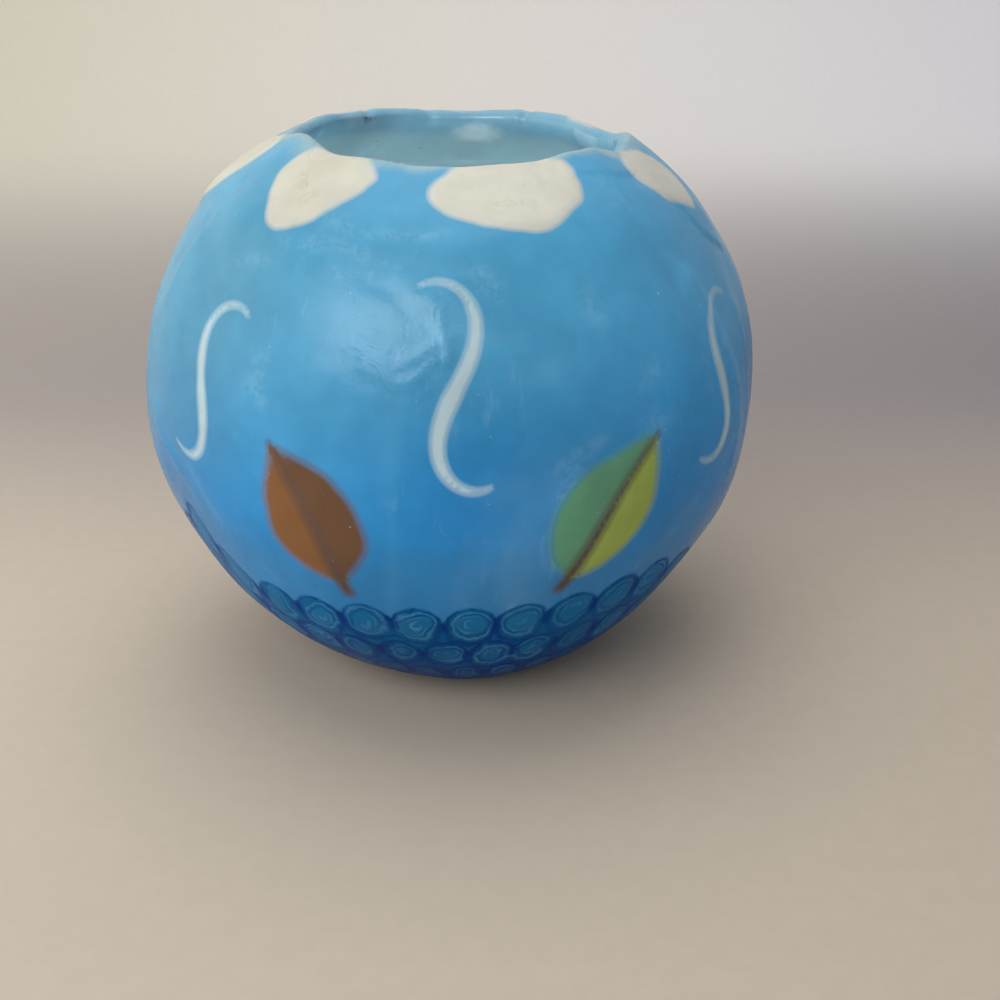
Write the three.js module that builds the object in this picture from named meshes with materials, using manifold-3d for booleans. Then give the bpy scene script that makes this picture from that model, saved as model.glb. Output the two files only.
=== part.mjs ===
// A hollow ball candle: a thick wax shell with an open, uneven lip, dressed with pressed-on slices
// of coloured wax, standing on a small flat foot, with a tealight that drops in through the mouth.
// Millimetres, +Z up, origin at the centre of the foot. The viewer stands on the -Y side.
//
// The shell is drawn first as a true sphere about (0, 0, BALL_Z), where every layer is a lathe and
// every slice is a straight extrusion cut to the layer. Then hand() moves all of it to the real,
// hand-made shape: a lip that dips at the front, a flattened top and a few soft hollows.
import * as THREE from "three";
import { mergeVertices } from "three/addons/utils/BufferGeometryUtils.js";
import Module from "manifold-3d";

const wasm = await Module();
wasm.setup();

// ---- driving dimensions -------------------------------------------------------------------------
const BALL_R = 50; // outside radius of the ball
const FOOT_R = 18; // flat foot
const BALL_Z = Math.sqrt(BALL_R ** 2 - FOOT_R ** 2); // height of the ball's centre
const VENEER_IN = 48.0; // the coloured outer layer runs from here to BALL_R
const WAVE_IN = 48.4; // the wave strips' flat facets need a little more room over the core
const CORE_OUT = 47.62; // the plain core wall runs from CORE_IN to here
const CORE_IN = 44.5;
const LIP_IN = 46.3; // the core wall thins to this inner radius at the lip
const FOOT_T = 2.0; // thickness of the base cap under the core
const GAP = 0.32; // clearance between pieces that touch
const LIP_DEG = 33; // polar angle of the lip on the true sphere
const SEGS = 30; // facets round the ball
const ROWS = 8; // facet rows between the lip and the wave band
const SCALLOPS = 36; // wave scallops in each row of the band
const BAND = { top: 118, middle: 128, third: 138, low: 148.5 }; // polar angles of the rows' valleys
const RISE = { top: 3.8, middle: 3.4, third: 2.9, low: 2.2 }; // how far each scallop rises above them

const SEAT_Z = 6.5; // floor of the tealight's seat
const LEDGE_Z = 8.0; // floor of the cavity round the seat
const SEAT_R = 20.2;

const CUP_R = 19.0; // tealight cup
const CUP_H = 16.0;
const CUP_T = 0.5;
const WAX_R = 18.1;
const WAX_TOP = 12.6; // above the cup's underside
const WICK_R = 0.85;
const WICK_TOP = 20.5; // above the cup's underside
const CUP_Z = SEAT_Z + 0.3; // underside of the cup when seated

// ---- small helpers ------------------------------------------------------------------------------
const rad = (d) => (d * Math.PI) / 180;
const smooth = (x) => {
  const t = Math.min(1, Math.max(0, x));
  return t * t * (3 - 2 * t);
};

// A closed geometry as a solid, in place.
function solid(geometry, matrix) {
  let g = geometry.index ? geometry.toNonIndexed() : geometry.clone();
  g.deleteAttribute("normal");
  g.deleteAttribute("uv");
  if (matrix) g.applyMatrix4(matrix);
  g = mergeVertices(g, 1e-4);
  const index = g.index.array;
  const keep = [];
  for (let i = 0; i < index.length; i += 3) {
    const [a, b, c] = [index[i], index[i + 1], index[i + 2]];
    if (a !== b && b !== c && c !== a) keep.push(a, b, c);
  }
  const make = (tri) =>
    new wasm.Manifold(
      new wasm.Mesh({
        numProp: 3,
        vertProperties: new Float32Array(g.attributes.position.array),
        triVerts: new Uint32Array(tri),
      }),
    );
  let made = make(keep);
  if (made.volume() < 0) {
    for (let i = 0; i < keep.length; i += 3)
      [keep[i + 1], keep[i + 2]] = [keep[i + 2], keep[i + 1]];
    made = make(keep);
  }
  return made;
}

function geometryOf(made) {
  const m = made.getMesh();
  const n = m.numProp;
  const v = new Float32Array(m.numVert * 3);
  for (let i = 0; i < m.numVert; i++)
    v.set(m.vertProperties.subarray(i * n, i * n + 3), i * 3);
  const g = new THREE.BufferGeometry();
  g.setAttribute("position", new THREE.BufferAttribute(v, 3));
  g.setIndex(new THREE.BufferAttribute(new Uint32Array(m.triVerts), 1));
  g.computeVertexNormals();
  return g;
}

// Lathe geometry turns about Y; the ball stands on Z.
const STAND = new THREE.Matrix4().makeRotationX(Math.PI / 2);
const lathe = (points, segments) =>
  solid(
    new THREE.LatheGeometry(
      points.map(([x, y]) => new THREE.Vector2(x, y)),
      segments,
    ),
    STAND,
  );

// A point of a lathe profile at a polar angle (degrees from the top), about the ball's centre.
const at = (r, deg) => [r * Math.sin(rad(deg)), r * Math.cos(rad(deg))];
const steps = (from, to, n) =>
  Array.from({ length: n + 1 }, (_, i) => from + ((to - from) * i) / n);

// ---- the hand-made shape ------------------------------------------------------------------------
// The lip's crest round the ball, read from the photograph: azimuth, polar angle, and distance from
// the ball's centre as a share of its radius.
const LIP = [
  [0, 34.1, 0.993],
  [20, 33.3, 0.97],
  [43, 30.05, 0.982],
  [66, 29.6, 0.99],
  [92, 28.5, 0.981],
  [120, 27.9, 0.988],
  [148, 29, 0.987],
  [168, 29.5, 0.972],
  [190, 30.4, 0.963],
  [210, 29.4, 0.967],
  [231, 32.7, 0.961],
  [250, 34.8, 0.975],
  [272, 35.7, 0.969],
  [297, 34.4, 0.958],
  [322, 32.7, 0.968],
  [342, 34.3, 0.957],
];
// Soft bumps and hollows: polar angle, azimuth, height in mm, and width in degrees.
const LUMPS = [
  [68, 354, 0.7, 17],
  [107, 343, 0.1, 10],
  [122, 333, -0.85, 12],
  [120, 214, -0.6, 17],
  [91, 197, 0.3, 14],
  [88, 262, -0.35, 15],
  [75, 300, 0.3, 16],
  [80, 40, -0.6, 20],
  [100, 85, 0.5, 22],
  [75, 130, -0.5, 18],
  [110, 160, 0.4, 18],
  [147, 284, 0.75, 15],
  [43, 186, 0.25, 8],
];

// Where the wave band climbs the ball: azimuth, how far in degrees, and half-width in degrees.
const CLIMB = [
  [213.5, 11, 9.5],
  [312, 2.6, 14],
];

// Catmull-Rom interpolation round the closed lip.
function lip(azimuth, column) {
  const n = LIP.length;
  const a = ((azimuth % 360) + 360) % 360;
  let i = 0;
  while (i + 1 < n && LIP[i + 1][0] <= a) i++;
  const pick = (k) => LIP[((k % n) + n) % n];
  const from = LIP[i][0];
  const to = i + 1 < n ? LIP[i + 1][0] : 360;
  const t = (a - from) / (to - from);
  const [p0, p1, p2, p3] = [i - 1, i, i + 1, i + 2].map((k) => pick(k)[column]);
  return (
    0.5 *
    (2 * p1 +
      (p2 - p0) * t +
      (2 * p0 - 5 * p1 + 4 * p2 - p3) * t * t +
      (3 * p1 - p0 - 3 * p2 + p3) * t * t * t)
  );
}

// Moves one point of the true ball (about its centre) to the hand-made shape.
function hand(p) {
  const r = p.length();
  if (r < 1e-6) return p;
  const theta = (Math.acos(THREE.MathUtils.clamp(p.z / r, -1, 1)) * 180) / Math.PI;
  const phi = (Math.atan2(p.y, p.x) * 180) / Math.PI;
  const fade = smooth((64 - theta) / (64 - LIP_DEG));
  let climb = 0;
  for (const [a, height, width] of CLIMB) {
    const apart = Math.abs(((((phi - a + 180) % 360) + 360) % 360) - 180);
    climb += height * Math.exp(-((apart / width) ** 2));
  }
  climb *= smooth((theta - 84) / 28) * (1 - smooth((theta - 120) / 30));
  const turned = theta + (lip(phi, 1) - LIP_DEG) * fade - climb;
  let rho = 1 + (lip(phi, 2) - 1) * smooth((54 - theta) / (54 - LIP_DEG));
  // The cavity's floor and the foot stay true; the outside is hand-shaped down to the foot.
  const still = Math.max(
    smooth((143 - theta) / 14),
    smooth((156 - theta) / 8) * smooth((r - 45.5) / 1.5),
  );
  const n = p.clone().divideScalar(r);
  for (const [t, a, height, width] of LUMPS) {
    const d = new THREE.Vector3(
      Math.sin(rad(t)) * Math.cos(rad(a)),
      Math.sin(rad(t)) * Math.sin(rad(a)),
      Math.cos(rad(t)),
    );
    const angle = (Math.acos(THREE.MathUtils.clamp(n.dot(d), -1, 1)) * 180) / Math.PI;
    rho += (height / BALL_R) * Math.exp(-((angle / width) ** 2)) * still;
  }
  const s = r * rho;
  return p.set(
    s * Math.sin(rad(turned)) * Math.cos(rad(phi)),
    s * Math.sin(rad(turned)) * Math.sin(rad(phi)),
    s * Math.cos(rad(turned)),
  );
}

const CENTRE = new THREE.Vector3(0, 0, BALL_Z);

const group = new THREE.Group();
const wax = (hex, roughness = 0.42) =>
  new THREE.MeshStandardMaterial({ color: hex, roughness, metalness: 0 });

function add(name, made, material, { shaped = true } = {}) {
  const g = geometryOf(made);
  if (shaped) {
    const p = new THREE.Vector3();
    const position = g.attributes.position;
    for (let i = 0; i < position.count; i++) {
      p.fromBufferAttribute(position, i);
      hand(p);
      position.setXYZ(i, p.x, p.y, p.z);
    }
    g.computeVertexNormals();
  }
  const mesh = new THREE.Mesh(g, material);
  mesh.name = name;
  mesh.position.copy(CENTRE);
  group.add(mesh);
}

// ---- shell: core wall ---------------------------------------------------------------------------
// The core's underside stands on the base cap; its cavity has a flat floor with a shallow seat.
const coreBottom = FOOT_T + GAP - BALL_Z;
const coreFootDeg = (Math.acos(coreBottom / CORE_OUT) * 180) / Math.PI;
const ledge = LEDGE_Z - BALL_Z;
const ledgeDeg = (Math.acos(ledge / CORE_IN) * 180) / Math.PI;
const innerR = (deg) => CORE_IN + (LIP_IN - CORE_IN) * smooth((56 - deg) / 20);
const ROW_DEG = (BAND.top - LIP_DEG - 0.5) / ROWS;
const CORE_ROWS = [
  LIP_DEG + 1.8,
  ...steps(LIP_DEG + 0.5 + ROW_DEG, BAND.top, ROWS - 1),
  BAND.middle,
  BAND.third,
  BAND.low,
  coreFootDeg,
];
core();
function core() {
  const mid = (CORE_OUT + LIP_IN) / 2;
  const profile = [
    [0, coreBottom],
    ...CORE_ROWS.slice().reverse().map((d) => at(CORE_OUT, d)),
    at(CORE_OUT - 0.25, LIP_DEG + 0.6),
    at(mid, LIP_DEG + 0.1),
    at(LIP_IN + 0.2, LIP_DEG + 0.7),
    ...steps(LIP_DEG + 2, ledgeDeg, 9).map((d) => at(innerR(d), d)),
    [SEAT_R, ledge],
    [SEAT_R, SEAT_Z - BALL_Z],
    [0, SEAT_Z - BALL_Z],
  ];
  add("core_wall", lathe(profile, SEGS), wax(0x6fa3c4));
}

// ---- shell: the coloured layer as one plain lathe, which every piece of it is cut from -----------
const layer = (fromDeg, toDeg, rows, segments, inner = VENEER_IN, outer = BALL_R) => {
  const out = steps(fromDeg, toDeg, rows).map((d) => at(outer, d));
  const back = steps(toDeg, fromDeg, rows).map((d) => at(inner, d));
  return lathe([...out, ...back, out[0]], segments);
};

// A ring of the layer whose edges are scalloped, cut slightly apart from its neighbours.
// It is a lathe whose rows are moved along the ball's polar angle.
function scalloped(from, rise, fromShift, to, toRise, toShift, grow, inner, outer) {
  const segments = SCALLOPS * 4;
  const rows = 1;
  const unit = steps(0, 1, rows);
  const out = unit.map((u) => at(outer, 60 + 30 * u));
  const back = unit.slice().reverse().map((u) => at(inner, 60 + 30 * u));
  const g = new THREE.LatheGeometry(
    [...out, ...back, out[0]].map(([x, y]) => new THREE.Vector2(x, y)),
    segments,
  ).applyMatrix4(STAND);
  const p = new THREE.Vector3();
  const position = g.attributes.position;
  for (let i = 0; i < position.count; i++) {
    p.fromBufferAttribute(position, i);
    const r = p.length();
    const u = ((Math.acos(p.z / r) * 180) / Math.PI - 60) / 30;
    const phi = Math.atan2(p.y, p.x);
    const top =
      from - rise * Math.abs(Math.sin((SCALLOPS / 2) * phi + fromShift)) - grow;
    const low =
      to === null
        ? 0
        : to - toRise * Math.abs(Math.sin((SCALLOPS / 2) * phi + toShift)) + grow;
    const d = rad(top + (low - top) * u);
    position.setXYZ(
      i,
      r * Math.sin(d) * Math.cos(phi),
      r * Math.sin(d) * Math.sin(phi),
      r * Math.cos(d),
    );
  }
  return solid(g);
}
const GAP_DEG = (GAP / BALL_R) * (180 / Math.PI);
const HALF = Math.PI / 2; // every second row is half a scallop round
const rowOne = (grow, inner = WAVE_IN, outer = BALL_R) =>
  scalloped(BAND.top, RISE.top, 0, BAND.middle, RISE.middle, HALF, grow, inner, outer);
const rowTwo = (grow, inner = WAVE_IN, outer = BALL_R) =>
  scalloped(BAND.middle, RISE.middle, HALF, BAND.third, RISE.third, 0, grow, inner, outer);
const rowThree = (grow, inner = WAVE_IN, outer = BALL_R) =>
  scalloped(BAND.third, RISE.third, 0, BAND.low, RISE.low, HALF, grow, inner, outer);

// ---- slices set into the coloured layer -----------------------------------------------------------
// Each outline is drawn flat, in mm, in the plane that touches the ball at the slice's centre:
// x runs round the ball to the viewer's right, y runs up towards the mouth.
function basis(polar, azimuth) {
  const t = rad(polar);
  const a = rad(azimuth);
  const n = new THREE.Vector3(
    Math.sin(t) * Math.cos(a),
    Math.sin(t) * Math.sin(a),
    Math.cos(t),
  );
  const right = new THREE.Vector3(-Math.sin(a), Math.cos(a), 0);
  const up = new THREE.Vector3().crossVectors(n, right);
  return new THREE.Matrix4().makeBasis(right, up, n);
}

const turn = (points, degrees, [dx, dy] = [0, 0]) => {
  const c = Math.cos(rad(degrees));
  const s = Math.sin(rad(degrees));
  return points.map(([x, y]) => [c * x - s * y + dx, s * x + c * y + dy]);
};

// Moves a closed outline outwards by g (anticlockwise outlines).
function grown(points, g) {
  const n = points.length;
  return points.map((p, i) => {
    const a = points[(i + n - 1) % n];
    const b = points[(i + 1) % n];
    const e1 = [p[0] - a[0], p[1] - a[1]];
    const e2 = [b[0] - p[0], b[1] - p[1]];
    const l1 = Math.hypot(...e1) || 1;
    const l2 = Math.hypot(...e2) || 1;
    const n1 = [e1[1] / l1, -e1[0] / l1];
    const n2 = [e2[1] / l2, -e2[0] / l2];
    const m = [n1[0] + n2[0], n1[1] + n2[1]];
    const d = Math.max(0.6, 1 + n1[0] * n2[0] + n1[1] * n2[1]);
    return [p[0] + (g * m[0]) / d, p[1] + (g * m[1]) / d];
  });
}

const anticlockwise = (points) =>
  THREE.ShapeUtils.isClockWise(points.map(([x, y]) => new THREE.Vector2(x, y)))
    ? points.slice().reverse()
    : points;

function prism(points, polar, azimuth, from, to) {
  const shape = new THREE.Shape(points.map(([x, y]) => new THREE.Vector2(x, y)));
  const g = new THREE.ExtrudeGeometry(shape, {
    depth: to - from,
    bevelEnabled: false,
    curveSegments: 1,
  });
  g.translate(0, 0, from);
  return solid(g, basis(polar, azimuth));
}

// A ribbon along a centreline: points and half-widths, out along one side and back along the other.
function ribbon(line, half) {
  const left = [];
  const right = [];
  line.forEach((p, i) => {
    const a = line[Math.max(0, i - 1)];
    const b = line[Math.min(line.length - 1, i + 1)];
    const l = Math.hypot(b[0] - a[0], b[1] - a[1]);
    const n = [-(b[1] - a[1]) / l, (b[0] - a[0]) / l];
    left.push([p[0] + n[0] * half[i], p[1] + n[1] * half[i]]);
    right.push([p[0] - n[0] * half[i], p[1] - n[1] * half[i]]);
  });
  return [...right, ...left.reverse()];
}

// A leaf standing on its stem: a midrib that runs from the stem to past the tip, and a blade half on
// each side of it.
const LEAF_STEPS = 5;
function leafLine(t, length, bend) {
  return [bend * Math.sin(Math.PI * t * 0.9), length * (t - 0.5)];
}
function leaf({ length, width, bend, stem }) {
  const halfWidth = (t) => (width / 2) * Math.pow(Math.sin(Math.PI * Math.pow(t, 0.8)), 0.85);
  const rib = (t) => 1.05 - 0.65 * t;
  const from = -stem / length;
  const ts = [from, 0.1, 0.4, 0.7, 1.03];
  const midrib = ribbon(
    ts.map((t) => leafLine(t, length, bend)),
    ts.map((t) => (t < 0 ? 0.95 : rib(Math.min(1, t)))),
  );
  const side = (s) => {
    const outer = [];
    const inner = [];
    for (let i = 0; i <= LEAF_STEPS; i++) {
      const t = 0.05 + (0.9 * i) / LEAF_STEPS;
      const [cx, cy] = leafLine(t, length, bend);
      const a = leafLine(t - 0.01, length, bend);
      const b = leafLine(t + 0.01, length, bend);
      const l = Math.hypot(b[0] - a[0], b[1] - a[1]);
      const n = [(b[1] - a[1]) / l, -(b[0] - a[0]) / l];
      const clear = rib(t) + GAP;
      const w = Math.max(halfWidth(t), clear + 0.45);
      outer.push([cx + s * n[0] * w, cy + s * n[1] * w]);
      inner.push([cx + s * n[0] * clear, cy + s * n[1] * clear]);
    }
    return [...outer, ...inner.reverse()];
  };
  return { midrib, right: side(1), left: side(-1) };
}

// A pointed petal, tip down and away from the mouth.
function petal({ width, length, lean = 0 }) {
  return Array.from({ length: 12 }, (_, i) => {
    const a = (i / 12) * 2 * Math.PI;
    const y = Math.cos(a);
    const taper = 0.86 + 0.2 * y - 0.1 * y * y;
    return [
      (width / 2) * Math.sin(a) * taper + lean * y,
      (length / 2) * (y + 0.1 * Math.sin(2 * a) * 0.4),
    ];
  });
}

// A scroll: an S-shaped stroke whose bend changes steadily from one sense to the other, pointed at
// both ends and widest a little past its start.
const SCROLL_STEPS = 10;
function scroll({ length, hook, width, flip }) {
  const line = [];
  const half = [];
  const fine = 60;
  let x = 0;
  let y = 0;
  const path = [[0, 0]];
  for (let i = 0; i < fine; i++) {
    const u = (i + 0.5) / fine;
    const heading = rad(hook) * 4 * u * (1 - u);
    x += (length / fine) * Math.cos(heading);
    y += (length / fine) * Math.sin(heading);
    path.push([x, y]);
  }
  for (let i = 0; i <= SCROLL_STEPS; i++) {
    const u = (1 - Math.cos((Math.PI * i) / SCROLL_STEPS)) / 2;
    const k = Math.round(u * fine);
    line.push([flip * (path[k][0] - x / 2), path[k][1] - y / 2]);
    half.push(0.36 + (width / 2 - 0.36) * Math.pow(Math.sin(Math.PI * Math.pow(u, 0.8)), 1.2));
  }
  return ribbon(line, half);
}

const SLICES = []; // [name, outline, polar, azimuth, colour]
const slice = (name, outline, polar, azimuth, colour) =>
  SLICES.push([name, anticlockwise(outline), polar, azimuth, colour]);

// White petals round the mouth; some of them reach the lip, which cuts them off.
const PETALS = [
  { polar: 42.0, azimuth: 237, turn: -7, width: 20, length: 17, lean: 0.8 },
  { polar: 41.3, azimuth: 288, turn: 6, width: 25, length: 17, lean: -0.7 },
  { polar: 43.5, azimuth: 340, turn: -5, width: 18, length: 15, lean: 0.5 },
  { polar: 42.0, azimuth: 30, turn: 6, width: 20, length: 16, lean: -0.4 },
  { polar: 41.0, azimuth: 84, turn: -5, width: 21, length: 14, lean: 0.6 },
  { polar: 41.5, azimuth: 137, turn: 4, width: 18, length: 16, lean: -0.7 },
  { polar: 43.0, azimuth: 190, turn: -8, width: 19, length: 15, lean: 0.4 },
];
PETALS.forEach((s, i) =>
  slice(`white_petal_${i + 1}`, turn(petal(s), s.turn), s.polar, s.azimuth, 0xe9e7db),
);

// White scrolls round the middle.
const SCROLLS = [
  { polar: 79, azimuth: 226, turn: -46, length: 36, hook: 148, width: 2.2, flip: 1 },
  { polar: 75, azimuth: 273, turn: 34, length: 39, hook: 152, width: 2.4, flip: -1 },
  { polar: 80, azimuth: 326, turn: -40, length: 35, hook: 146, width: 2.1, flip: 1 },
  { polar: 77, azimuth: 28, turn: 38, length: 38, hook: 150, width: 2.3, flip: -1 },
  { polar: 80, azimuth: 92, turn: -44, length: 37, hook: 148, width: 2.2, flip: 1 },
  { polar: 76, azimuth: 154, turn: 36, length: 36, hook: 150, width: 2.2, flip: -1 },
];
SCROLLS.forEach((s, i) =>
  slice(`white_scroll_${i + 1}`, turn(scroll(s), s.turn), s.polar, s.azimuth, 0xe6e8e4),
);

// Leaves round the lower half: a brown midrib and stem, with a blade half on each side.
const LEAVES = [
  { tone: "amber", polar: 97.5, azimuth: 247, turn: 24, length: 22, width: 14.5, bend: 1.2, stem: 3 },
  { tone: "green", polar: 97.5, azimuth: 300, turn: -32, length: 24, width: 15.5, bend: -1.3, stem: 3 },
  { tone: "red", polar: 97, azimuth: 356, turn: 22, length: 22, width: 13, bend: 1.1, stem: 3 },
  { tone: "green", polar: 97.5, azimuth: 61, turn: -26, length: 23, width: 15, bend: -1.2, stem: 3 },
  { tone: "amber", polar: 97, azimuth: 123, turn: 28, length: 23, width: 15, bend: 1.2, stem: 3 },
  { tone: "red", polar: 97, azimuth: 187, turn: -24, length: 22, width: 14, bend: -1.1, stem: 3 },
];
const TONES = {
  amber: [0xa8763a, 0x8a5a2c],
  green: [0x6da56a, 0xa9b83c],
  red: [0xb5603f, 0xd9c58a],
};
LEAVES.forEach((s, i) => {
  const { midrib, left, right } = leaf(s);
  const [a, b] = TONES[s.tone];
  const name = `leaf_${i + 1}`;
  slice(`${name}_midrib`, turn(midrib, s.turn), s.polar, s.azimuth, 0x6b4038);
  slice(`${name}_blade_left`, turn(left, s.turn), s.polar, s.azimuth, a);
  slice(`${name}_blade_right`, turn(right, s.turn), s.polar, s.azimuth, b);
});

// The sky veneer is the layer from the lip to the wave band, less a window for every slice.
const plainSky = layer(LIP_DEG + 0.5, BAND.top, ROWS, SEGS);
const cutLow = scalloped(BAND.top, RISE.top, 0, BAND.middle, 0, 0, GAP_DEG, 46, 52);
const windows = SLICES.map(([, outline, polar, azimuth]) =>
  prism(grown(outline, GAP), polar, azimuth, 40, 54),
).reduce((all, one) => all.add(one));
const wholeSky = plainSky.subtract(cutLow);
add("sky_veneer", wholeSky.subtract(windows), wax(0x4b97cf));
for (const [name, outline, polar, azimuth, colour] of SLICES)
  add(name, plainSky.intersect(prism(outline, polar, azimuth, 40, 54)), wax(colour));

// ---- the wave band: three rows of scallops, each laid as four strips -------------------------------
function strips(prefix, ring, cuts, colour) {
  cuts.forEach((from, i) => {
    const to = i + 1 < cuts.length ? cuts[i + 1] : cuts[0] + 360;
    const mid = rad((from + to) / 2);
    const a = rad(from);
    const b = rad(to);
    const reach = 90;
    // A wedge with its two sides half the clearance inside the cut lines.
    const inset = GAP / 2 / Math.sin((b - a) / 2);
    const corner = [inset * Math.cos(mid), inset * Math.sin(mid)];
    const wedge = new THREE.Shape([
      new THREE.Vector2(...corner),
      new THREE.Vector2(corner[0] + reach * Math.cos(a), corner[1] + reach * Math.sin(a)),
      new THREE.Vector2(
        corner[0] + 1.5 * reach * Math.cos(mid),
        corner[1] + 1.5 * reach * Math.sin(mid),
      ),
      new THREE.Vector2(corner[0] + reach * Math.cos(b), corner[1] + reach * Math.sin(b)),
    ]);
    const tool = new THREE.ExtrudeGeometry(wedge, { depth: 120, bevelEnabled: false });
    tool.translate(0, 0, -60);
    add(`${prefix}_${i + 1}`, ring.intersect(solid(tool)), wax(colour));
  });
}
const valleys = (first) => steps(first, first + (3 * SCALLOPS) / 4, 3).map((k) => (k * 360) / SCALLOPS);
strips("wave_strip_upper", rowOne(-GAP_DEG / 4), valleys(3), 0x2f78b4);
strips("wave_strip_middle", rowTwo(-GAP_DEG / 2), valleys(0.5), 0x27699f);
strips("wave_strip_lower", rowThree(-GAP_DEG / 2), valleys(2), 0x235e9a);

// ---- base cap: plain dark wax, flat underneath -----------------------------------------------------
{
  const footDeg = (Math.acos(-BALL_Z / BALL_R) * 180) / Math.PI;
  const capTop = FOOT_T - BALL_Z;
  const innerDeg = (Math.acos(capTop / VENEER_IN) * 180) / Math.PI;
  const profile = [
    [0, -BALL_Z],
    ...steps(footDeg, BAND.low - RISE.low - 3, 2).map((d) => at(BALL_R, d)),
    ...steps(BAND.low - RISE.low - 3, innerDeg, 2).map((d) => at(VENEER_IN, d)),
    [0, capTop],
  ];
  const cutTop = scalloped(
    BAND.low - 14, 0, 0, BAND.low, RISE.low, HALF, GAP_DEG / 2, 46, 52,
  );
  add("base_cap", lathe(profile, SEGS).subtract(cutTop), wax(0x1f4f8f));
}

// ---- the tealight ----------------------------------------------------------------------------------
const cupUp = CUP_Z - BALL_Z;
const up = (points) => points.map(([x, z]) => [x, z + cupUp]);
add(
  "tealight_cup",
  lathe(
    up([
      [0, 0],
      [CUP_R - 1.2, 0],
      [CUP_R - 0.3, 0.5],
      [CUP_R - 0.1, CUP_H - 0.9],
      [CUP_R + 0.35, CUP_H - 0.7],
      [CUP_R + 0.45, CUP_H - 0.3],
      [CUP_R + 0.1, CUP_H],
      [CUP_R - 0.45, CUP_H - 0.2],
      [CUP_R - CUP_T - 0.1, CUP_H - 1.0],
      [CUP_R - CUP_T - 0.15, 0.9],
      [CUP_R - 1.5, CUP_T],
      [0, CUP_T],
    ]),
    28,
  ),
  new THREE.MeshStandardMaterial({ color: 0xc9ccd0, roughness: 0.32, metalness: 1 }),
  { shaped: false },
);
add(
  "tealight_wax",
  lathe(
    up([
      [1.15, WAX_TOP - 0.5],
      [1.15, 6.6],
      [2.15, 6.4],
      [2.15, 1.5],
      [7.0, 1.4],
      [7.0, CUP_T + 0.3],
      [WAX_R - 0.9, CUP_T + 0.3],
      [WAX_R, 1.6],
      [WAX_R, WAX_TOP],
      [WAX_R - 0.5, WAX_TOP + 0.1],
      [WAX_R - 2.5, WAX_TOP - 0.35],
      [1.15, WAX_TOP - 0.5],
    ]),
    28,
  ),
  wax(0xefece2, 0.5),
  { shaped: false },
);
add(
  "wick_sustainer",
  lathe(
    up([
      [1.1, CUP_T + 0.3],
      [6.6, CUP_T + 0.3],
      [6.6, CUP_T + 0.6],
      [1.8, CUP_T + 0.6],
      [1.65, 6.0],
      [1.1, 6.0],
      [1.1, CUP_T + 0.3],
    ]),
    20,
  ),
  new THREE.MeshStandardMaterial({ color: 0xb9bcc0, roughness: 0.4, metalness: 1 }),
  { shaped: false },
);
{
  const path = new THREE.CatmullRomCurve3([
    new THREE.Vector3(0, 0, CUP_T + 0.3),
    new THREE.Vector3(0, 0, 7),
    new THREE.Vector3(0, 0, 13.2),
    new THREE.Vector3(0.25, -0.1, 17),
    new THREE.Vector3(1.3, -0.5, WICK_TOP),
  ]);
  const round = new THREE.Shape(
    Array.from({ length: 7 }, (_, i) => {
      const a = (i / 7) * 2 * Math.PI;
      return new THREE.Vector2(WICK_R * Math.cos(a), WICK_R * Math.sin(a));
    }),
  );
  const g = new THREE.ExtrudeGeometry(round, { steps: 10, extrudePath: path });
  add(
    "wick",
    solid(g, new THREE.Matrix4().makeTranslation(0, 0, cupUp)),
    new THREE.MeshStandardMaterial({ color: 0xdedbd0, roughness: 0.9, metalness: 0 }),
    { shaped: false },
  );
}

// The lip and the lumps pull the outline a little to one side; this centres the whole on the origin.
group.updateMatrixWorld(true);
const middle = new THREE.Box3().setFromObject(group).getCenter(new THREE.Vector3());
for (const mesh of group.children) mesh.position.sub(new THREE.Vector3(middle.x, middle.y, 0));

export default group;
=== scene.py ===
import math

import bpy
import numpy as np
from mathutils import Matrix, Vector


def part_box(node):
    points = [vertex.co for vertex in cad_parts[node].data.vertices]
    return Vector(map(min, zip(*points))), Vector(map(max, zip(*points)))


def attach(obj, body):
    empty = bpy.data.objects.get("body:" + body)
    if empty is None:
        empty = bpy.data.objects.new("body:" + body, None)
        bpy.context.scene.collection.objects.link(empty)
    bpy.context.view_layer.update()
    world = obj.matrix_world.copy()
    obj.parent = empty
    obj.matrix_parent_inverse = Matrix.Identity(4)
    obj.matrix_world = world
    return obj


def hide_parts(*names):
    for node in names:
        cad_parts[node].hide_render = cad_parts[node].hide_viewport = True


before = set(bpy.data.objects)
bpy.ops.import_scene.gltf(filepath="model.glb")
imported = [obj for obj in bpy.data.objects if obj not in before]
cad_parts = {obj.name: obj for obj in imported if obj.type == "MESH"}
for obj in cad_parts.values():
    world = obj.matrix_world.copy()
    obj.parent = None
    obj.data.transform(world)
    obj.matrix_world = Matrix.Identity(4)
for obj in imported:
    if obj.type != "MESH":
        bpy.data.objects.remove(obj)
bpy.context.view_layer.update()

# ---------------------------------------------------------------------------------------------------
# The ball candle. Shapes are worked out in millimetres about the ball's centre, on a true sphere,
# then moved by hand() to the uneven hand-made shape, as the solids are.
# ---------------------------------------------------------------------------------------------------
BALL_R = 50.0
FOOT_R = 18.0
BALL_Z = math.sqrt(BALL_R**2 - FOOT_R**2)
SKIN_IN = 48.0
CORE_OUT = 47.6
CORE_IN = 44.5
LIP_IN = 46.3
LIP_DEG = 33.0
SCALLOPS = 36
BAND = {"top": 118.0, "middle": 128.0, "third": 138.0, "low": 148.5}
RISE = {"top": 3.8, "middle": 3.4, "third": 2.9, "low": 2.2}
SEAT_Z, LEDGE_Z, SEAT_R = 6.5, 8.0, 20.2
CUP_R, CUP_H, CUP_Z = 19.0, 16.0, 6.8
WAX_R, WAX_TOP, WICK_TOP = 18.1, 12.6, 20.5

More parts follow.
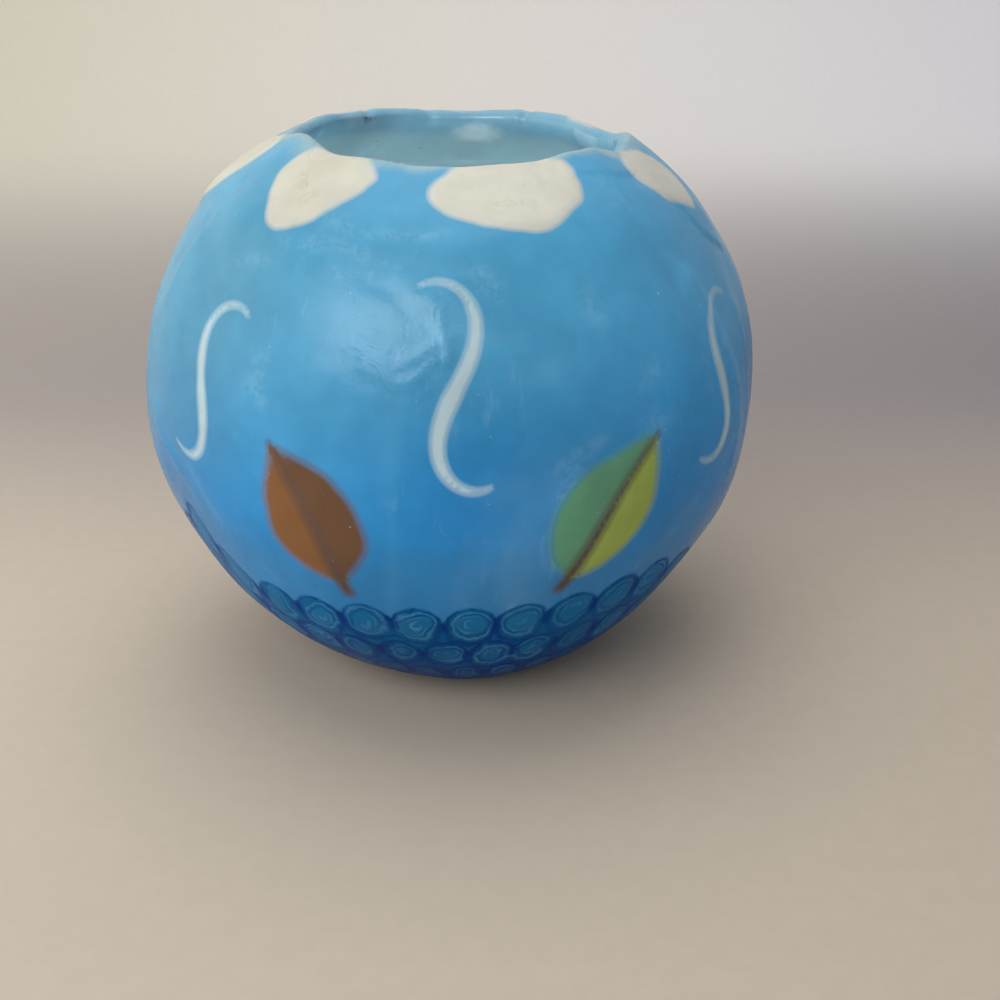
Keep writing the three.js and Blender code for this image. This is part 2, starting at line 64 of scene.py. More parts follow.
# The tealight's axis passes through the ball's centre, so its box says where the ball stands.
_low, _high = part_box("tealight_cup")
AXIS = np.array([(_low[0] + _high[0]) / 2, (_low[1] + _high[1]) / 2, 0.0]) * 1000.0
CENTRE = AXIS + np.array([0.0, 0.0, BALL_Z])


def smooth(x):
    t = np.clip(x, 0.0, 1.0)
    return t * t * (3.0 - 2.0 * t)


def lin(r, g, b):
    """sRGB 0..255 to linear."""
    c = np.array([r, g, b], float) / 255.0
    return np.where(c <= 0.04045, c / 12.92, ((c + 0.055) / 1.055) ** 2.4)


# ---- noise ------------------------------------------------------------------------------------------
def noise3(points, scale, seed):
    """Smooth value noise in -1..1 at points (n, 3), one lattice cell every `scale` millimetres."""
    rng = np.random.default_rng(seed)
    table = rng.uniform(-1.0, 1.0, (32, 32, 32))
    q = points / scale + 100.0 + rng.uniform(0, 1, 3)
    i = np.floor(q).astype(int)
    f = q - i
    f = f * f * f * (f * (f * 6 - 15) + 10)
    out = 0.0
    for dx in (0, 1):
        for dy in (0, 1):
            for dz in (0, 1):
                w = (
                    (f[:, 0] if dx else 1 - f[:, 0])
                    * (f[:, 1] if dy else 1 - f[:, 1])
                    * (f[:, 2] if dz else 1 - f[:, 2])
                )
                out = out + w * table[(i[:, 0] + dx) % 32, (i[:, 1] + dy) % 32, (i[:, 2] + dz) % 32]
    return out


# ---- the hand-made shape ----------------------------------------------------------------------------
LIP = np.array([
    (0, 34.1, 0.993), (20, 33.3, 0.97), (43, 30.05, 0.982), (66, 29.6, 0.99),
    (92, 28.5, 0.981), (120, 27.9, 0.988), (148, 29, 0.987), (168, 29.5, 0.972),
    (190, 30.4, 0.963), (210, 29.4, 0.967), (231, 32.7, 0.961), (250, 34.8, 0.975),
    (272, 35.7, 0.969), (297, 34.4, 0.958), (322, 32.7, 0.968), (342, 34.3, 0.957),
])
LUMPS = [
    (68, 354, 0.7, 17), (107, 343, 0.1, 10), (122, 333, -0.85, 12), (120, 214, -0.6, 17),
    (91, 197, 0.3, 14), (88, 262, -0.35, 15), (75, 300, 0.3, 16), (80, 40, -0.6, 20),
    (100, 85, 0.5, 22), (75, 130, -0.5, 18), (110, 160, 0.4, 18), (147, 284, 0.75, 15),
    (43, 186, 0.25, 8),
]
# Where the wave band climbs the ball: azimuth, how far in degrees, and half-width in degrees.
CLIMB = [(213.5, 11.0, 9.5), (312.0, 2.6, 14.0)]
# Small nicks and dips of the lip itself: azimuth, height in degrees of arc (down is +), width.
NICKS = [(58.5, 0.55, 2.2), (63, -0.35, 3.0), (101, 0.45, 3.5), (129, 0.5, 2.4), (150, -0.3, 6),
         (196, 0.5, 5), (225, -0.35, 6), (262, 0.35, 5), (285, -0.3, 7), (318, 0.4, 4), (12, 0.45, 5),
         (30, -0.3, 4), (352, -0.25, 4)]


def around(azimuth, column):
    """Catmull-Rom interpolation round the closed lip."""
    n = len(LIP)
    a = np.mod(azimuth, 360.0)
    i = np.searchsorted(LIP[:, 0], a, side="right") - 1
    start = LIP[i, 0]
    end = np.where(i + 1 < n, LIP[(i + 1) % n, 0], 360.0)
    t = (a - start) / (end - start)
    p0, p1, p2, p3 = (LIP[(i + k) % n, column] for k in (-1, 0, 1, 2))
    return 0.5 * (
        2 * p1 + (p2 - p0) * t + (2 * p0 - 5 * p1 + 4 * p2 - p3) * t**2
        + (3 * p1 - p0 - 3 * p2 + p3) * t**3
    )


def polar(points):
    r = np.linalg.norm(points, axis=1)
    theta = np.degrees(np.arccos(np.clip(points[:, 2] / np.maximum(r, 1e-9), -1, 1)))
    phi = np.degrees(np.arctan2(points[:, 1], points[:, 0]))
    return r, theta, phi


def unpolar(r, theta, phi):
    t, p = np.radians(theta), np.radians(phi)
    return np.stack([r * np.sin(t) * np.cos(p), r * np.sin(t) * np.sin(p), r * np.cos(t)], axis=1)


def angle_between(a, b):
    return np.abs((a - b + 180.0) % 360.0 - 180.0)


def hand(points):
    r, theta, phi = polar(points)
    n = points / np.maximum(r, 1e-9)[:, None]
    nick = np.zeros(len(r))
    for at, height, width in NICKS:
        nick += height * np.exp(-((angle_between(phi, at) / width) ** 2))
    climb = np.zeros(len(r))
    for at, height, width in CLIMB:
        climb += height * np.exp(-((angle_between(phi, at) / width) ** 2))
    climb *= smooth((theta - 84) / 28) * (1 - smooth((theta - 120) / 30))
    turned = (
        theta - climb
        + (around(phi, 1) - LIP_DEG) * smooth((64 - theta) / (64 - LIP_DEG))
        + nick * smooth((40 - theta) / 7.0)
    )
    rho = 1 + (around(phi, 2) - 1) * smooth((54 - theta) / (54 - LIP_DEG))
    # The cavity's floor and the foot stay true; the outside is hand-shaped down to the foot.
    still = np.maximum(smooth((143 - theta) / 14), smooth((156 - theta) / 8) * smooth((r - 45.5) / 1.5))
    for t, a, height, width in LUMPS:
        d = unpolar(np.array([1.0]), np.array([t]), np.array([a]))[0]
        angle = np.degrees(np.arccos(np.clip(n @ d, -1, 1)))
        rho = rho + (height / BALL_R) * np.exp(-((angle / width) ** 2)) * still
    return unpolar(r * rho, turned, phi)


def line_distance(theta, phi, line):
    """Distance in mm, along the ball, from points to a line given as (polar angle, azimuth) pairs."""
    mm = BALL_R * math.pi / 180
    best = np.full(len(theta), 1e9)
    for (t0, p0), (t1, p1) in zip(line[:-1], line[1:]):
        across = np.sin(np.radians(np.clip(theta, 20, 160)))
        x = ((phi - p0 + 180) % 360 - 180) * mm * across
        y = (theta - t0) * mm
        ex = ((p1 - p0 + 180) % 360 - 180) * mm * math.sin(math.radians((t0 + t1) / 2))
        ey = (t1 - t0) * mm
        u = np.clip((x * ex + y * ey) / (ex * ex + ey * ey), 0, 1)
        best = np.minimum(best, np.hypot(x - u * ex, y - u * ey))
    return best


# Ridges squeezed up by the fingers: line, height in mm, half-width in mm.
RIDGES = [
    ([(66.5, 259.8), (69.5, 259.6), (72.4, 260.7), (74.2, 262.6)], 0.07, 0.7),
    ([(74.6, 263.5), (74.4, 265.8), (73.4, 267.6)], 0.10, 0.6),
    ([(63.3, 270.5), (61.4, 268.6), (61.1, 266.0)], 0.07, 0.7),
    ([(66.0, 270.2), (67.9, 271.5)], 0.20, 0.8),
    ([(68.8, 272.0), (70.8, 271.7)], 0.22, 0.7),
    ([(68.4, 269.7), (70.0, 267.4), (71.3, 265.0)], 0.18, 0.9),
    ([(71.0, 269.6), (72.6, 267.2), (73.6, 265.8)], 0.16, 0.8),
    ([(66.4, 258.9), (69.5, 258.0), (72.6, 258.6)], 0.13, 0.9),
    ([(60.6, 261.4), (63.0, 264.5), (64.9, 267.0), (66.0, 269.4)], -0.14, 1.1),
    ([(61.5, 257.5), (61.2, 260.0), (62.0, 262.6)], 0.10, 0.9),
    ([(62.0, 323.0), (74.8, 328.2), (83.6, 332.6), (90.9, 333.9), (98.0, 332.0)], 0.26, 1.3),
    ([(58.0, 317.0), (68.0, 320.0), (76.2, 321.8), (84.0, 322.4)], -0.14, 1.6),
    ([(70.0, 338.0), (82.0, 341.0), (94.0, 340.0)], 0.22, 1.2),
    ([(86.0, 207.0), (96.0, 211.0), (104.0, 216.0)], 0.20, 1.5),
    ([(52.0, 214.0), (60.0, 209.0), (68.0, 206.0)], 0.18, 1.4),
    ([(72.0, 20.0), (84.0, 25.0), (92.0, 23.0)], 0.18, 1.3),
    ([(64.0, 70.0), (74.0, 66.0), (86.0, 69.0)], 0.16, 1.3),
    ([(70.0, 112.0), (80.0, 118.0), (88.0, 116.0)], 0.18, 1.4),
    ([(78.0, 168.0), (88.0, 172.0), (99.0, 170.0)], 0.16, 1.3),
]
# Pale smears rubbed across the surface; the one low on the right, by the outline, is a painted highlight where light
# shines through the wax's thin edge.
PALE_SMEARS_AND_EDGE_HIGHLIGHT = [
    [(48.7, 247.1), (50.6, 254.4), (50.7, 262.6), (50.3, 271.4)],
    [(53.5, 244.0), (53.0, 250.5), (54.5, 256.0)],
    [(73.1, 239.3), (74.7, 238.9), (77.0, 238.3)],
    [(101.8, 319.8), (103.9, 317.0), (107.6, 315.4)],
    [(88.5, 288.9), (84.6, 295.8)],
    [(60.5, 280.3), (57.0, 277.0)],
    # Painted highlight: light shining through the thin edge low on the right.
    [(104.5, 338.0), (108.5, 335.0), (112.0, 331.0)],
    [(74.3, 308.9), (76.9, 304.6)],
    [(74.8, 328.2), (83.6, 332.6), (90.9, 333.9), (92.8, 332.2)],
    [(76.0, 321.8), (81.0, 321.8)],
    [(62.0, 296.5), (66.5, 297.5)],
    [(83.0, 305.0), (84.5, 309.5)],
    [(77.0, 240.0), (79.5, 240.8)],
    [(97.0, 222.0), (103.0, 226.5)],
    [(88.0, 291.0), (93.0, 289.5)],
    [(58.0, 228.0), (57.0, 236.0)],
    [(56.0, 55.0), (57.5, 66.0)],
    [(80.0, 78.0), (86.0, 76.0)],
    [(60.0, 130.0), (66.0, 133.0)],
    [(95.0, 100.0), (99.0, 106.0)],
    [(58.0, 182.0), (60.0, 191.0)],
    [(70.0, 10.0), (76.0, 8.0)],
]
# Cracks and dirt in the white slices.
GRIME = [
    [(43.8, 283.5), (43.0, 286.5), (44.2, 290.0)],
    [(39.6, 292.0), (40.3, 295.5)],
    [(40.5, 232.5), (42.5, 236.0)],
    [(45.0, 238.5), (45.6, 241.5)],
    [(38.5, 187.5), (43.5, 189.5)],
    [(44.0, 186.0), (47.5, 186.6)],
    [(43.0, 337.0), (45.0, 340.0)],
    [(41.0, 28.0), (42.0, 34.0)],
    [(39.0, 82.0), (41.0, 88.0)],
    [(42.0, 134.0), (40.0, 139.0)],
]


def sheet_edges(points, theta, phi):
    """Where one sheet of the coloured wax laps over another: a low step along a wandering line."""
    mm = BALL_R * math.pi / 180
    a = np.mod(phi, 360.0)
    wander = 0.5 * noise3(points, 5.0, 81) + 0.25 * noise3(points, 2.2, 82)
    right = np.interp(a, [300, 315, 327, 333.7, 337, 345, 352], [37.5, 40.8, 42.7, 50.0, 56.0, 61.0, 62.0])
    ends = smooth((a - 302) / 7.0) * smooth((352 - a) / 8.0)
    step = 0.30 * smooth(0.5 - ((theta - right) * mm + wander) / 0.9) * ends * smooth((theta - LIP_DEG - 1) / 5.0)
    left = np.interp(a, [168, 182, 196, 208, 216], [58.0, 53.0, 52.0, 49.0, 42.0])
    ends = smooth((a - 168) / 8.0) * smooth((217 - a) / 7.0)
    step += 0.22 * smooth(0.5 - ((theta - left) * mm + wander) / 0.9) * ends * smooth((theta - LIP_DEG - 1) / 5.0)
    back = np.interp(a, [60, 80, 100, 125], [66.0, 61.0, 64.0, 70.0])
    ends = smooth((a - 60) / 10.0) * smooth((125 - a) / 10.0)
    step += 0.22 * smooth(0.5 - ((theta - back) * mm + wander) / 0.9) * ends * smooth((theta - LIP_DEG - 1) / 9.0)
    return step


def crinkled(theta, phi):
    """1 in the thumb-sized patch of fine crinkles at the front, and in two fainter ones elsewhere."""
    out = np.zeros(len(theta))
    for t, a, reach, amount in ((67.5, 265.0, 10.0, 1.0), (62.0, 300.0, 8.0, 0.45), (78.0, 238.0, 9.0, 0.4),
                                (70.0, 60.0, 10.0, 0.6), (72.0, 150.0, 11.0, 0.6), (60.0, 10.0, 8.0, 0.5)):
        d = unpolar(np.array([1.0]), np.array([t]), np.array([a]))[0]
        angle = np.arccos(np.clip(unpolar(np.ones(len(theta)), theta, phi) @ d, -1, 1)) * BALL_R
        out = np.maximum(out, amount * smooth(1.35 - angle / reach))
    return out


def relief(points, theta, phi):
    """The low hand-worked unevenness of the surface, in millimetres along the normal."""
    h = (
        0.20 * noise3(points, 19.0, 11)
        + 0.16 * noise3(points, 9.5, 12)
        + 0.070 * noise3(points, 4.6, 13)
        + 0.020 * noise3(points, 2.3, 14)
    )
    # A vertical facet or two, where the palm flattened the side.
    h -= 0.30 * smooth(1 - angle_between(phi, 318) / 9.0) * smooth(1 - np.abs(theta - 92) / 30)
    h -= 0.22 * smooth(1 - angle_between(phi, 238) / 8.0) * smooth(1 - np.abs(theta - 70) / 22)
    h -= 0.35 * smooth(1 - angle_between(phi, 344) / 9.0) * smooth(1 - np.abs(theta - 80) / 26)
    for line, height, half in RIDGES:
        d = line_distance(theta, phi, line)
        h += height * np.exp(-((d / half) ** 2))
    fold = 1 - np.abs(noise3(points, 2.6, 83) + 0.35 * noise3(points, 1.5, 84))
    h += 0.030 * crinkled(theta, phi) * np.clip(fold, 0, 1) ** 3
    h += sheet_edges(points, theta, phi)
    return h * smooth((157.0 - theta) / 9.0)


# ---- outlines of the slices, drawn flat in the plane that touches the ball at their centre -----------
def basis(polar_deg, azimuth):
    t, a = math.radians(polar_deg), math.radians(azimuth)
    n = np.array([math.sin(t) * math.cos(a), math.sin(t) * math.sin(a), math.cos(t)])
    right = np.array([-math.sin(a), math.cos(a), 0.0])
    return right, np.cross(n, right), n


def turned(points, degrees):
    c, s = math.cos(math.radians(degrees)), math.sin(math.radians(degrees))
    return np.stack([c * points[:, 0] - s * points[:, 1], s * points[:, 0] + c * points[:, 1]], axis=1)


def ribbon(line, half):
    ahead = np.roll(line, -1, axis=0)
    behind = np.roll(line, 1, axis=0)
    ahead[-1], behind[0] = line[-1], line[0]
    d = ahead - behind
    n = np.stack([-d[:, 1], d[:, 0]], axis=1) / np.linalg.norm(d, axis=1)[:, None]
    left = line + n * half[:, None]
    right = line - n * half[:, None]
    return np.concatenate([right, left[::-1]])


def wobble(points, amount, seed, scale=4.0):
    """A hand-cut edge: moves an outline's points a little, smoothly along it."""
    q = np.column_stack([points, np.full(len(points), seed * 7.3)])
    return points + amount * np.stack([noise3(q, scale, 900 + seed), noise3(q, scale, 950 + seed)], axis=1)


def petal_outline(width, length, lean, seed):
    a = np.linspace(0, 2 * math.pi, 120, endpoint=False)
    y = np.cos(a)
    taper = 0.86 + 0.2 * y - 0.1 * y * y
    points = np.stack(
        [(width / 2) * np.sin(a) * taper + lean * y, (length / 2) * (y + 0.04 * np.sin(2 * a))], axis=1
    )
    points = wobble(points, 1.0, seed, 4.6)
    for _ in range(24):  # corners go round when a soft slice is pressed in
        points = (np.roll(points, 1, axis=0) + 2 * points + np.roll(points, -1, axis=0)) / 4
    return wobble(points, 0.22, seed + 20, 1.7)


def scroll_outline(length, hook, width, flip, seed):
    fine = 60
    u = (np.arange(fine) + 0.5) / fine
    heading = math.radians(hook) * 4 * u * (1 - u)
    path = np.concatenate(
        [[[0, 0]], np.cumsum(np.stack([np.cos(heading), np.sin(heading)], axis=1) * length / fine, axis=0)]
    )
    u = np.linspace(0, 1, fine + 1)
    half = 0.10 + (0.86 * width / 2 - 0.10) * np.sin(np.pi * u**0.8) ** 0.9
    half = half * (1 + 0.16 * noise3(np.column_stack([u * length, u * 0, u * 0 + seed]), 3.0, 70 + seed))
    line = path - path[-1] / 2
    line[:, 0] *= flip
    return ribbon(line, half)


def leaf_line(t, length, bend):
    return np.stack([bend * np.sin(math.pi * t * 0.9), length * (t - 0.5)], axis=1)


def leaf_rib(length, bend, stem):
    t = np.linspace(-stem / length, 1.02, 60)
    half = np.where(t < 0, 0.95, 1.05 - 0.65 * np.clip(t, 0, 1))
    half[0] *= 0.55
    half[1] *= 0.85
    half[-1] *= 0.5
    return ribbon(leaf_line(t, length, bend), half)


def leaf_blade(length, width, bend, seed):
    t = np.linspace(0.0, 1.0, 80)
    half = (width / 2) * np.maximum(np.sin(math.pi * t**0.8), 0) ** 0.85 + 0.01
    return wobble(ribbon(leaf_line(t, length, bend), half), 0.35, seed, 4.0)


def outline_distance(points, outline):
    """Signed distance from points (n, 2) to a closed outline, negative inside."""
    a = outline
    b = np.roll(outline, -1, axis=0)
    keep = np.linalg.norm(b - a, axis=1) > 1e-9
    a, b = a[keep], b[keep]
    best = np.full(len(points), 1e9)
    inside = np.zeros(len(points), bool)
    for p, q in zip(a, b):
        e = q - p
        w = points - p
        t = np.clip((w @ e) / (e @ e), 0, 1)
        d = w - t[:, None] * e
        best = np.minimum(best, (d * d).sum(axis=1))
        crosses = (p[1] <= points[:, 1]) != (q[1] <= points[:, 1])
        with np.errstate(divide="ignore", invalid="ignore"):
            x = p[0] + (points[:, 1] - p[1]) / (q[1] - p[1]) * (q[0] - p[0])
        inside ^= crosses & (points[:, 0] < x)
    d = np.sqrt(best)
    return np.where(inside, -d, d)


PETALS = [
    dict(polar=42.0, azimuth=237, turn=-7, width=20, length=17, lean=0.8),
    dict(polar=41.3, azimuth=288, turn=6, width=25, length=17, lean=-0.7),
    dict(polar=43.5, azimuth=340, turn=-5, width=18, length=15, lean=0.5),
    dict(polar=42.0, azimuth=30, turn=6, width=20, length=16, lean=-0.4),
    dict(polar=41.0, azimuth=84, turn=-5, width=21, length=14, lean=0.6),
    dict(polar=41.5, azimuth=137, turn=4, width=18, length=16, lean=-0.7),
    dict(polar=43.0, azimuth=190, turn=-8, width=19, length=15, lean=0.4),
]
SCROLLS = [
    dict(polar=79, azimuth=226, turn=-46, length=36, hook=148, width=2.2, flip=1),
    dict(polar=75, azimuth=273, turn=34, length=39, hook=152, width=2.4, flip=-1),
    dict(polar=80, azimuth=326, turn=-40, length=35, hook=146, width=2.1, flip=1),
    dict(polar=77, azimuth=28, turn=38, length=38, hook=150, width=2.3, flip=-1),
    dict(polar=80, azimuth=92, turn=-44, length=37, hook=148, width=2.2, flip=1),
    dict(polar=76, azimuth=154, turn=36, length=36, hook=150, width=2.2, flip=-1),
]
LEAVES = [
    dict(tone="amber", polar=97.5, azimuth=247, turn=24, length=22, width=14.5, bend=1.2, stem=3),
    dict(tone="green", polar=97.5, azimuth=300, turn=-32, length=24, width=15.5, bend=-1.3, stem=3),
    dict(tone="red", polar=97, azimuth=356, turn=22, length=22, width=13, bend=1.1, stem=3),
    dict(tone="green", polar=97.5, azimuth=61, turn=-26, length=23, width=15, bend=-1.2, stem=3),
    dict(tone="amber", polar=97, azimuth=123, turn=28, length=23, width=15, bend=1.2, stem=3),
    dict(tone="red", polar=97, azimuth=187, turn=-24, length=22, width=14, bend=-1.1, stem=3),
]

# ---- colours (linear), one per kind of wax -----------------------------------------------------------
SKY_HIGH = np.array([0.064, 0.288, 0.478])
SKY_LOW = np.array([0.0015, 0.186, 0.535])
RIM_PALE = np.array([0.240, 0.385, 0.430])
BARE = np.array([0.265, 0.418, 0.470])  # the core's wax, bare inside
CUT = np.array([0.150, 0.325, 0.440])  # the same wax on the cut edge of the lip, clearer and darker
COLOURS = {
    "white": np.array([0.510, 0.505, 0.430]),
    "stroke": np.array([0.400, 0.540, 0.600]),
    "brown": np.array([0.100, 0.062, 0.052]),
    "amber": np.array([0.200, 0.092, 0.036]),
    "umber": np.array([0.130, 0.068, 0.036]),
    "green": np.array([0.110, 0.300, 0.180]),
    "lime": np.array([0.310, 0.400, 0.085]),
    "coral": np.array([0.420, 0.095, 0.045]),
    "cream": np.array([0.580, 0.500, 0.280]),
    "wave": np.array([0.005, 0.108, 0.290]),
    "deep": np.array([0.002, 0.080, 0.250]),
    "deeper": np.array([0.001, 0.052, 0.200]),
    "cap": np.array([0.001, 0.028, 0.160]),
}
TONES = {"amber": ("amber", "umber"), "green": ("green", "lime"), "red": ("coral", "cream")}
SOFT = {"white": 0.50, "stroke": 0.55, "brown": 0.75, "amber": 0.9, "umber": 0.9, "green": 0.95, "lime": 0.95,
        "coral": 0.9, "cream": 0.9, "wave": 0.40, "deep": 0.4, "deeper": 0.4, "cap": 0.5, "sky": 0.3}


def colour_of(kind, theta, phi):
    """The wax's colour, with the slow change of tone down and round the ball; on the outer skin it also carries painted
    light and a painted reflection.
    """
    n = len(theta)
    if kind == "sky":
        t = smooth((theta - 58.0) / 66.0)[:, None]
        c = SKY_HIGH * (1 - t) + SKY_LOW * t
        # Painted light: the front left, where the window's light falls, is painted brighter; a broad place on the right
        # shoulder is painted a brighter, clearer blue.
        painted_window_light = np.exp(-((angle_between(phi, 250) / 16) ** 2) - ((theta - 88) / 14) ** 2)[:, None]
        far = np.exp(-((angle_between(phi, 314) / 22) ** 2) - ((theta - 76) / 22) ** 2)[:, None]
        c = c * (1 + painted_window_light * np.array([0.25, 0.17, 0.15]) + far * np.array([-0.10, 0.10, 0.20]))
        # And two places painted darker: the left shoulder, and a small one in the middle of the front.
        dull = np.exp(-((angle_between(phi, 226) / 15) ** 2) - ((theta - 62) / 24) ** 2)[:, None]
        deep = np.exp(-((angle_between(phi, 275) / 16) ** 2) - ((theta - 89) / 11) ** 2)[:, None]
        c = c * (1 + dull * np.array([0.0, -0.14, -0.20]) + deep * np.array([-0.50, -0.22, -0.11]))
        # Just over the band the blue is a little greyer.
        low = smooth((theta - 97.0) / 13.0)[:, None]
        c = c * (1 + low * np.array([0.0, 0.0, -0.13])) + low * np.array([0.018, 0.0, 0.0])
        # The right shoulder is a little milkier.
        milky = (0.20 * np.exp(-((angle_between(phi, 326) / 16) ** 2) - ((theta - 62) / 14) ** 2))[:, None]
        c = c * (1 - milky) + np.array([0.260, 0.580, 0.860]) * milky
        # Painted reflection: a milky pale veil on the left flank, where the bright wall is mirrored in the wax near the
        # outline.
        left_flank_painted_reflection = (0.34 * np.exp(-((angle_between(phi, 203) / 20) ** 2)) * smooth((118 - theta) / 40))[:, None]
        c = c * (1 - left_flank_painted_reflection) + np.array([0.200, 0.400, 0.520]) * left_flank_painted_reflection
        # Thin, clear wax at the lip: pale and greyish, wider on the two sides.
        wide = 2.2 + 3.2 * np.exp(-((angle_between(phi, 225) / 26) ** 2)) + 5.5 * np.exp(-((angle_between(phi, 352) / 24) ** 2))
        q = unpolar(np.full(n, BALL_R), theta, phi)
        u = (theta - LIP_DEG - 0.6) / wide + 0.35 * noise3(q, 4.5, 61) + 0.2 * noise3(q, 1.9, 62)
        pale = 0.92 * smooth(1.25 - u)[:, None]
        c = c * (1 - pale) + RIM_PALE * pale
    elif kind == "core":
        t = smooth((theta - LIP_DEG - 1.5) / 5.0)[:, None]
        return CUT * (1 - t) + BARE * t
    else:
        c = np.tile(COLOURS[kind], (n, 1))
        if kind in ("wave", "deep", "deeper"):
            # The band's wax was rolled thinner in places, and is paler there.
            thin = np.maximum(0.62 * np.exp(-((angle_between(phi, 216) / 15) ** 2)),
                              0.40 * np.exp(-((angle_between(phi, 65) / 20) ** 2)))
            thin = (thin * smooth((146 - theta) / 24))[:, None]
            c = c * (1 - thin) + np.array([0.040, 0.190, 0.400]) * thin
    # The lip was cut through, so its edge shows the bare wax under the thin coloured layer.
    t = smooth((theta - LIP_DEG - 0.25) / 0.55)[:, None]
    return CUT * (1 - t) + c * t


# ---- the skin: one fine grid over the whole outside, cut into its slices ------------------------------
def skin_profile():
    """Rows of (outer x, outer z, inner x, inner z, polar angle) from the lip's crest to the foot."""
    rows = []
    mid, half = (BALL_R + LIP_IN) / 2, (BALL_R - LIP_IN) / 2
    for a in np.linspace(0, math.pi / 2, 8, endpoint=False):
        u = 1.7 * (1 - math.cos(a))
        th = LIP_DEG + math.degrees(u / mid)
        r = mid + half * math.sin(a)
        ti = th + 0.35 * (1 - math.sin(a))
        rows.append((r * math.sin(math.radians(th)), r * math.cos(math.radians(th)),
                     SKIN_IN * math.sin(math.radians(ti)), SKIN_IN * math.cos(math.radians(ti)), th))
    first = LIP_DEG + math.degrees(1.7 / mid)
    foot = math.degrees(math.acos(-BALL_Z / BALL_R))
    for th in np.linspace(first, foot - 1.6, 152):
        s, c = math.sin(math.radians(th)), math.cos(math.radians(th))
        rows.append((BALL_R * s, BALL_R * c, SKIN_IN * s, SKIN_IN * c, th))
    # The foot: a softly rounded corner, then the flat.
    s0, c0 = rows[-1][0], rows[-1][1]
    for k, f in enumerate((0.3, 0.55, 0.78, 0.93, 1.0)):
        x = s0 + (16.9 - s0) * f
        z = c0 + (-BALL_Z - c0) * (1 - (1 - f) ** 2)
        rows.append((x, z, x * 0.955, z + 2.0, foot + k * 0.2))
    for x in (15.5, 13.5, 11.0, 8.0, 5.0, 2.5, 0.0):
        rows.append((x, -BALL_Z, x * 0.955, -BALL_Z + 2.0, foot + 2 + (16 - x)))
    return np.array(rows)


COLUMNS = 440
rows = skin_profile()
R = len(rows)
azimuth = np.degrees(np.arange(COLUMNS) * 2 * math.pi / COLUMNS)
A = np.tile(azimuth, R)
ca, sa = np.cos(np.radians(A)), np.sin(np.radians(A))
each = lambda column: np.repeat(rows[:, column], COLUMNS)
ideal = np.stack([each(0) * ca, each(0) * sa, each(1)], axis=1)
inner = np.stack([each(2) * ca, each(2) * sa, each(3)], axis=1)
THETA = each(4)
PHI = np.where(A > 180, A - 360, A)


def grid_triangles(rows_n, columns):
    i, j = np.meshgrid(np.arange(rows_n - 1), np.arange(columns), indexing="ij")
    k = (j + 1) % columns
    a, b = i * columns + j, i * columns + k
    c, d = (i + 1) * columns + k, (i + 1) * columns + j
    flip = ((i + j) % 2 == 0)[..., None]
    one = np.where(flip, np.stack([a, c, b], -1), np.stack([a, d, b], -1))
    two = np.where(flip, np.stack([a, d, c], -1), np.stack([b, d, c], -1))
    return np.concatenate([one.reshape(-1, 3), two.reshape(-1, 3)])


def vertex_normals(points, triangles):
    a, b, c = points[triangles[:, 0]], points[triangles[:, 1]], points[triangles[:, 2]]
    n = np.cross(b - a, c - a)
    out = np.zeros_like(points)
    for k in range(3):
        np.add.at(out, triangles[:, k], n)
    return out / np.maximum(np.linalg.norm(out, axis=1), 1e-12)[:, None]


tris = grid_triangles(R, COLUMNS)
tris[tris >= (R - 1) * COLUMNS] = (R - 1) * COLUMNS  # the last row is one point
tris = tris[(tris[:, 0] != tris[:, 1]) & (tris[:, 1] != tris[:, 2]) & (tris[:, 2] != tris[:, 0])]

# ---- which slice each point of the grid belongs to ----------------------------------------------------
names, kinds, members = [], [], []
FAR = 30.0
fields = []


def field(name, kind, nodes, values):
    names.append(name)
    kinds.append(kind)
    members.append(nodes)
    fields.append(values.astype(np.float32))


def near_field(polar_deg, az, reach, work):
    """work(xy) gives distances for the grid points within reach of a slice's centre."""
    right, up, n = basis(polar_deg, az)
    x, y, z = ideal @ right, ideal @ up, ideal @ n
    pick = (z > 25) & (np.hypot(x, y) < reach)
    values = [np.full(len(ideal), FAR) for _ in range(3)]
    got = work(np.stack([x[pick], y[pick]], axis=1))
    for out, g in zip(values, got):
        out[pick] = g
    return values[: len(got)]


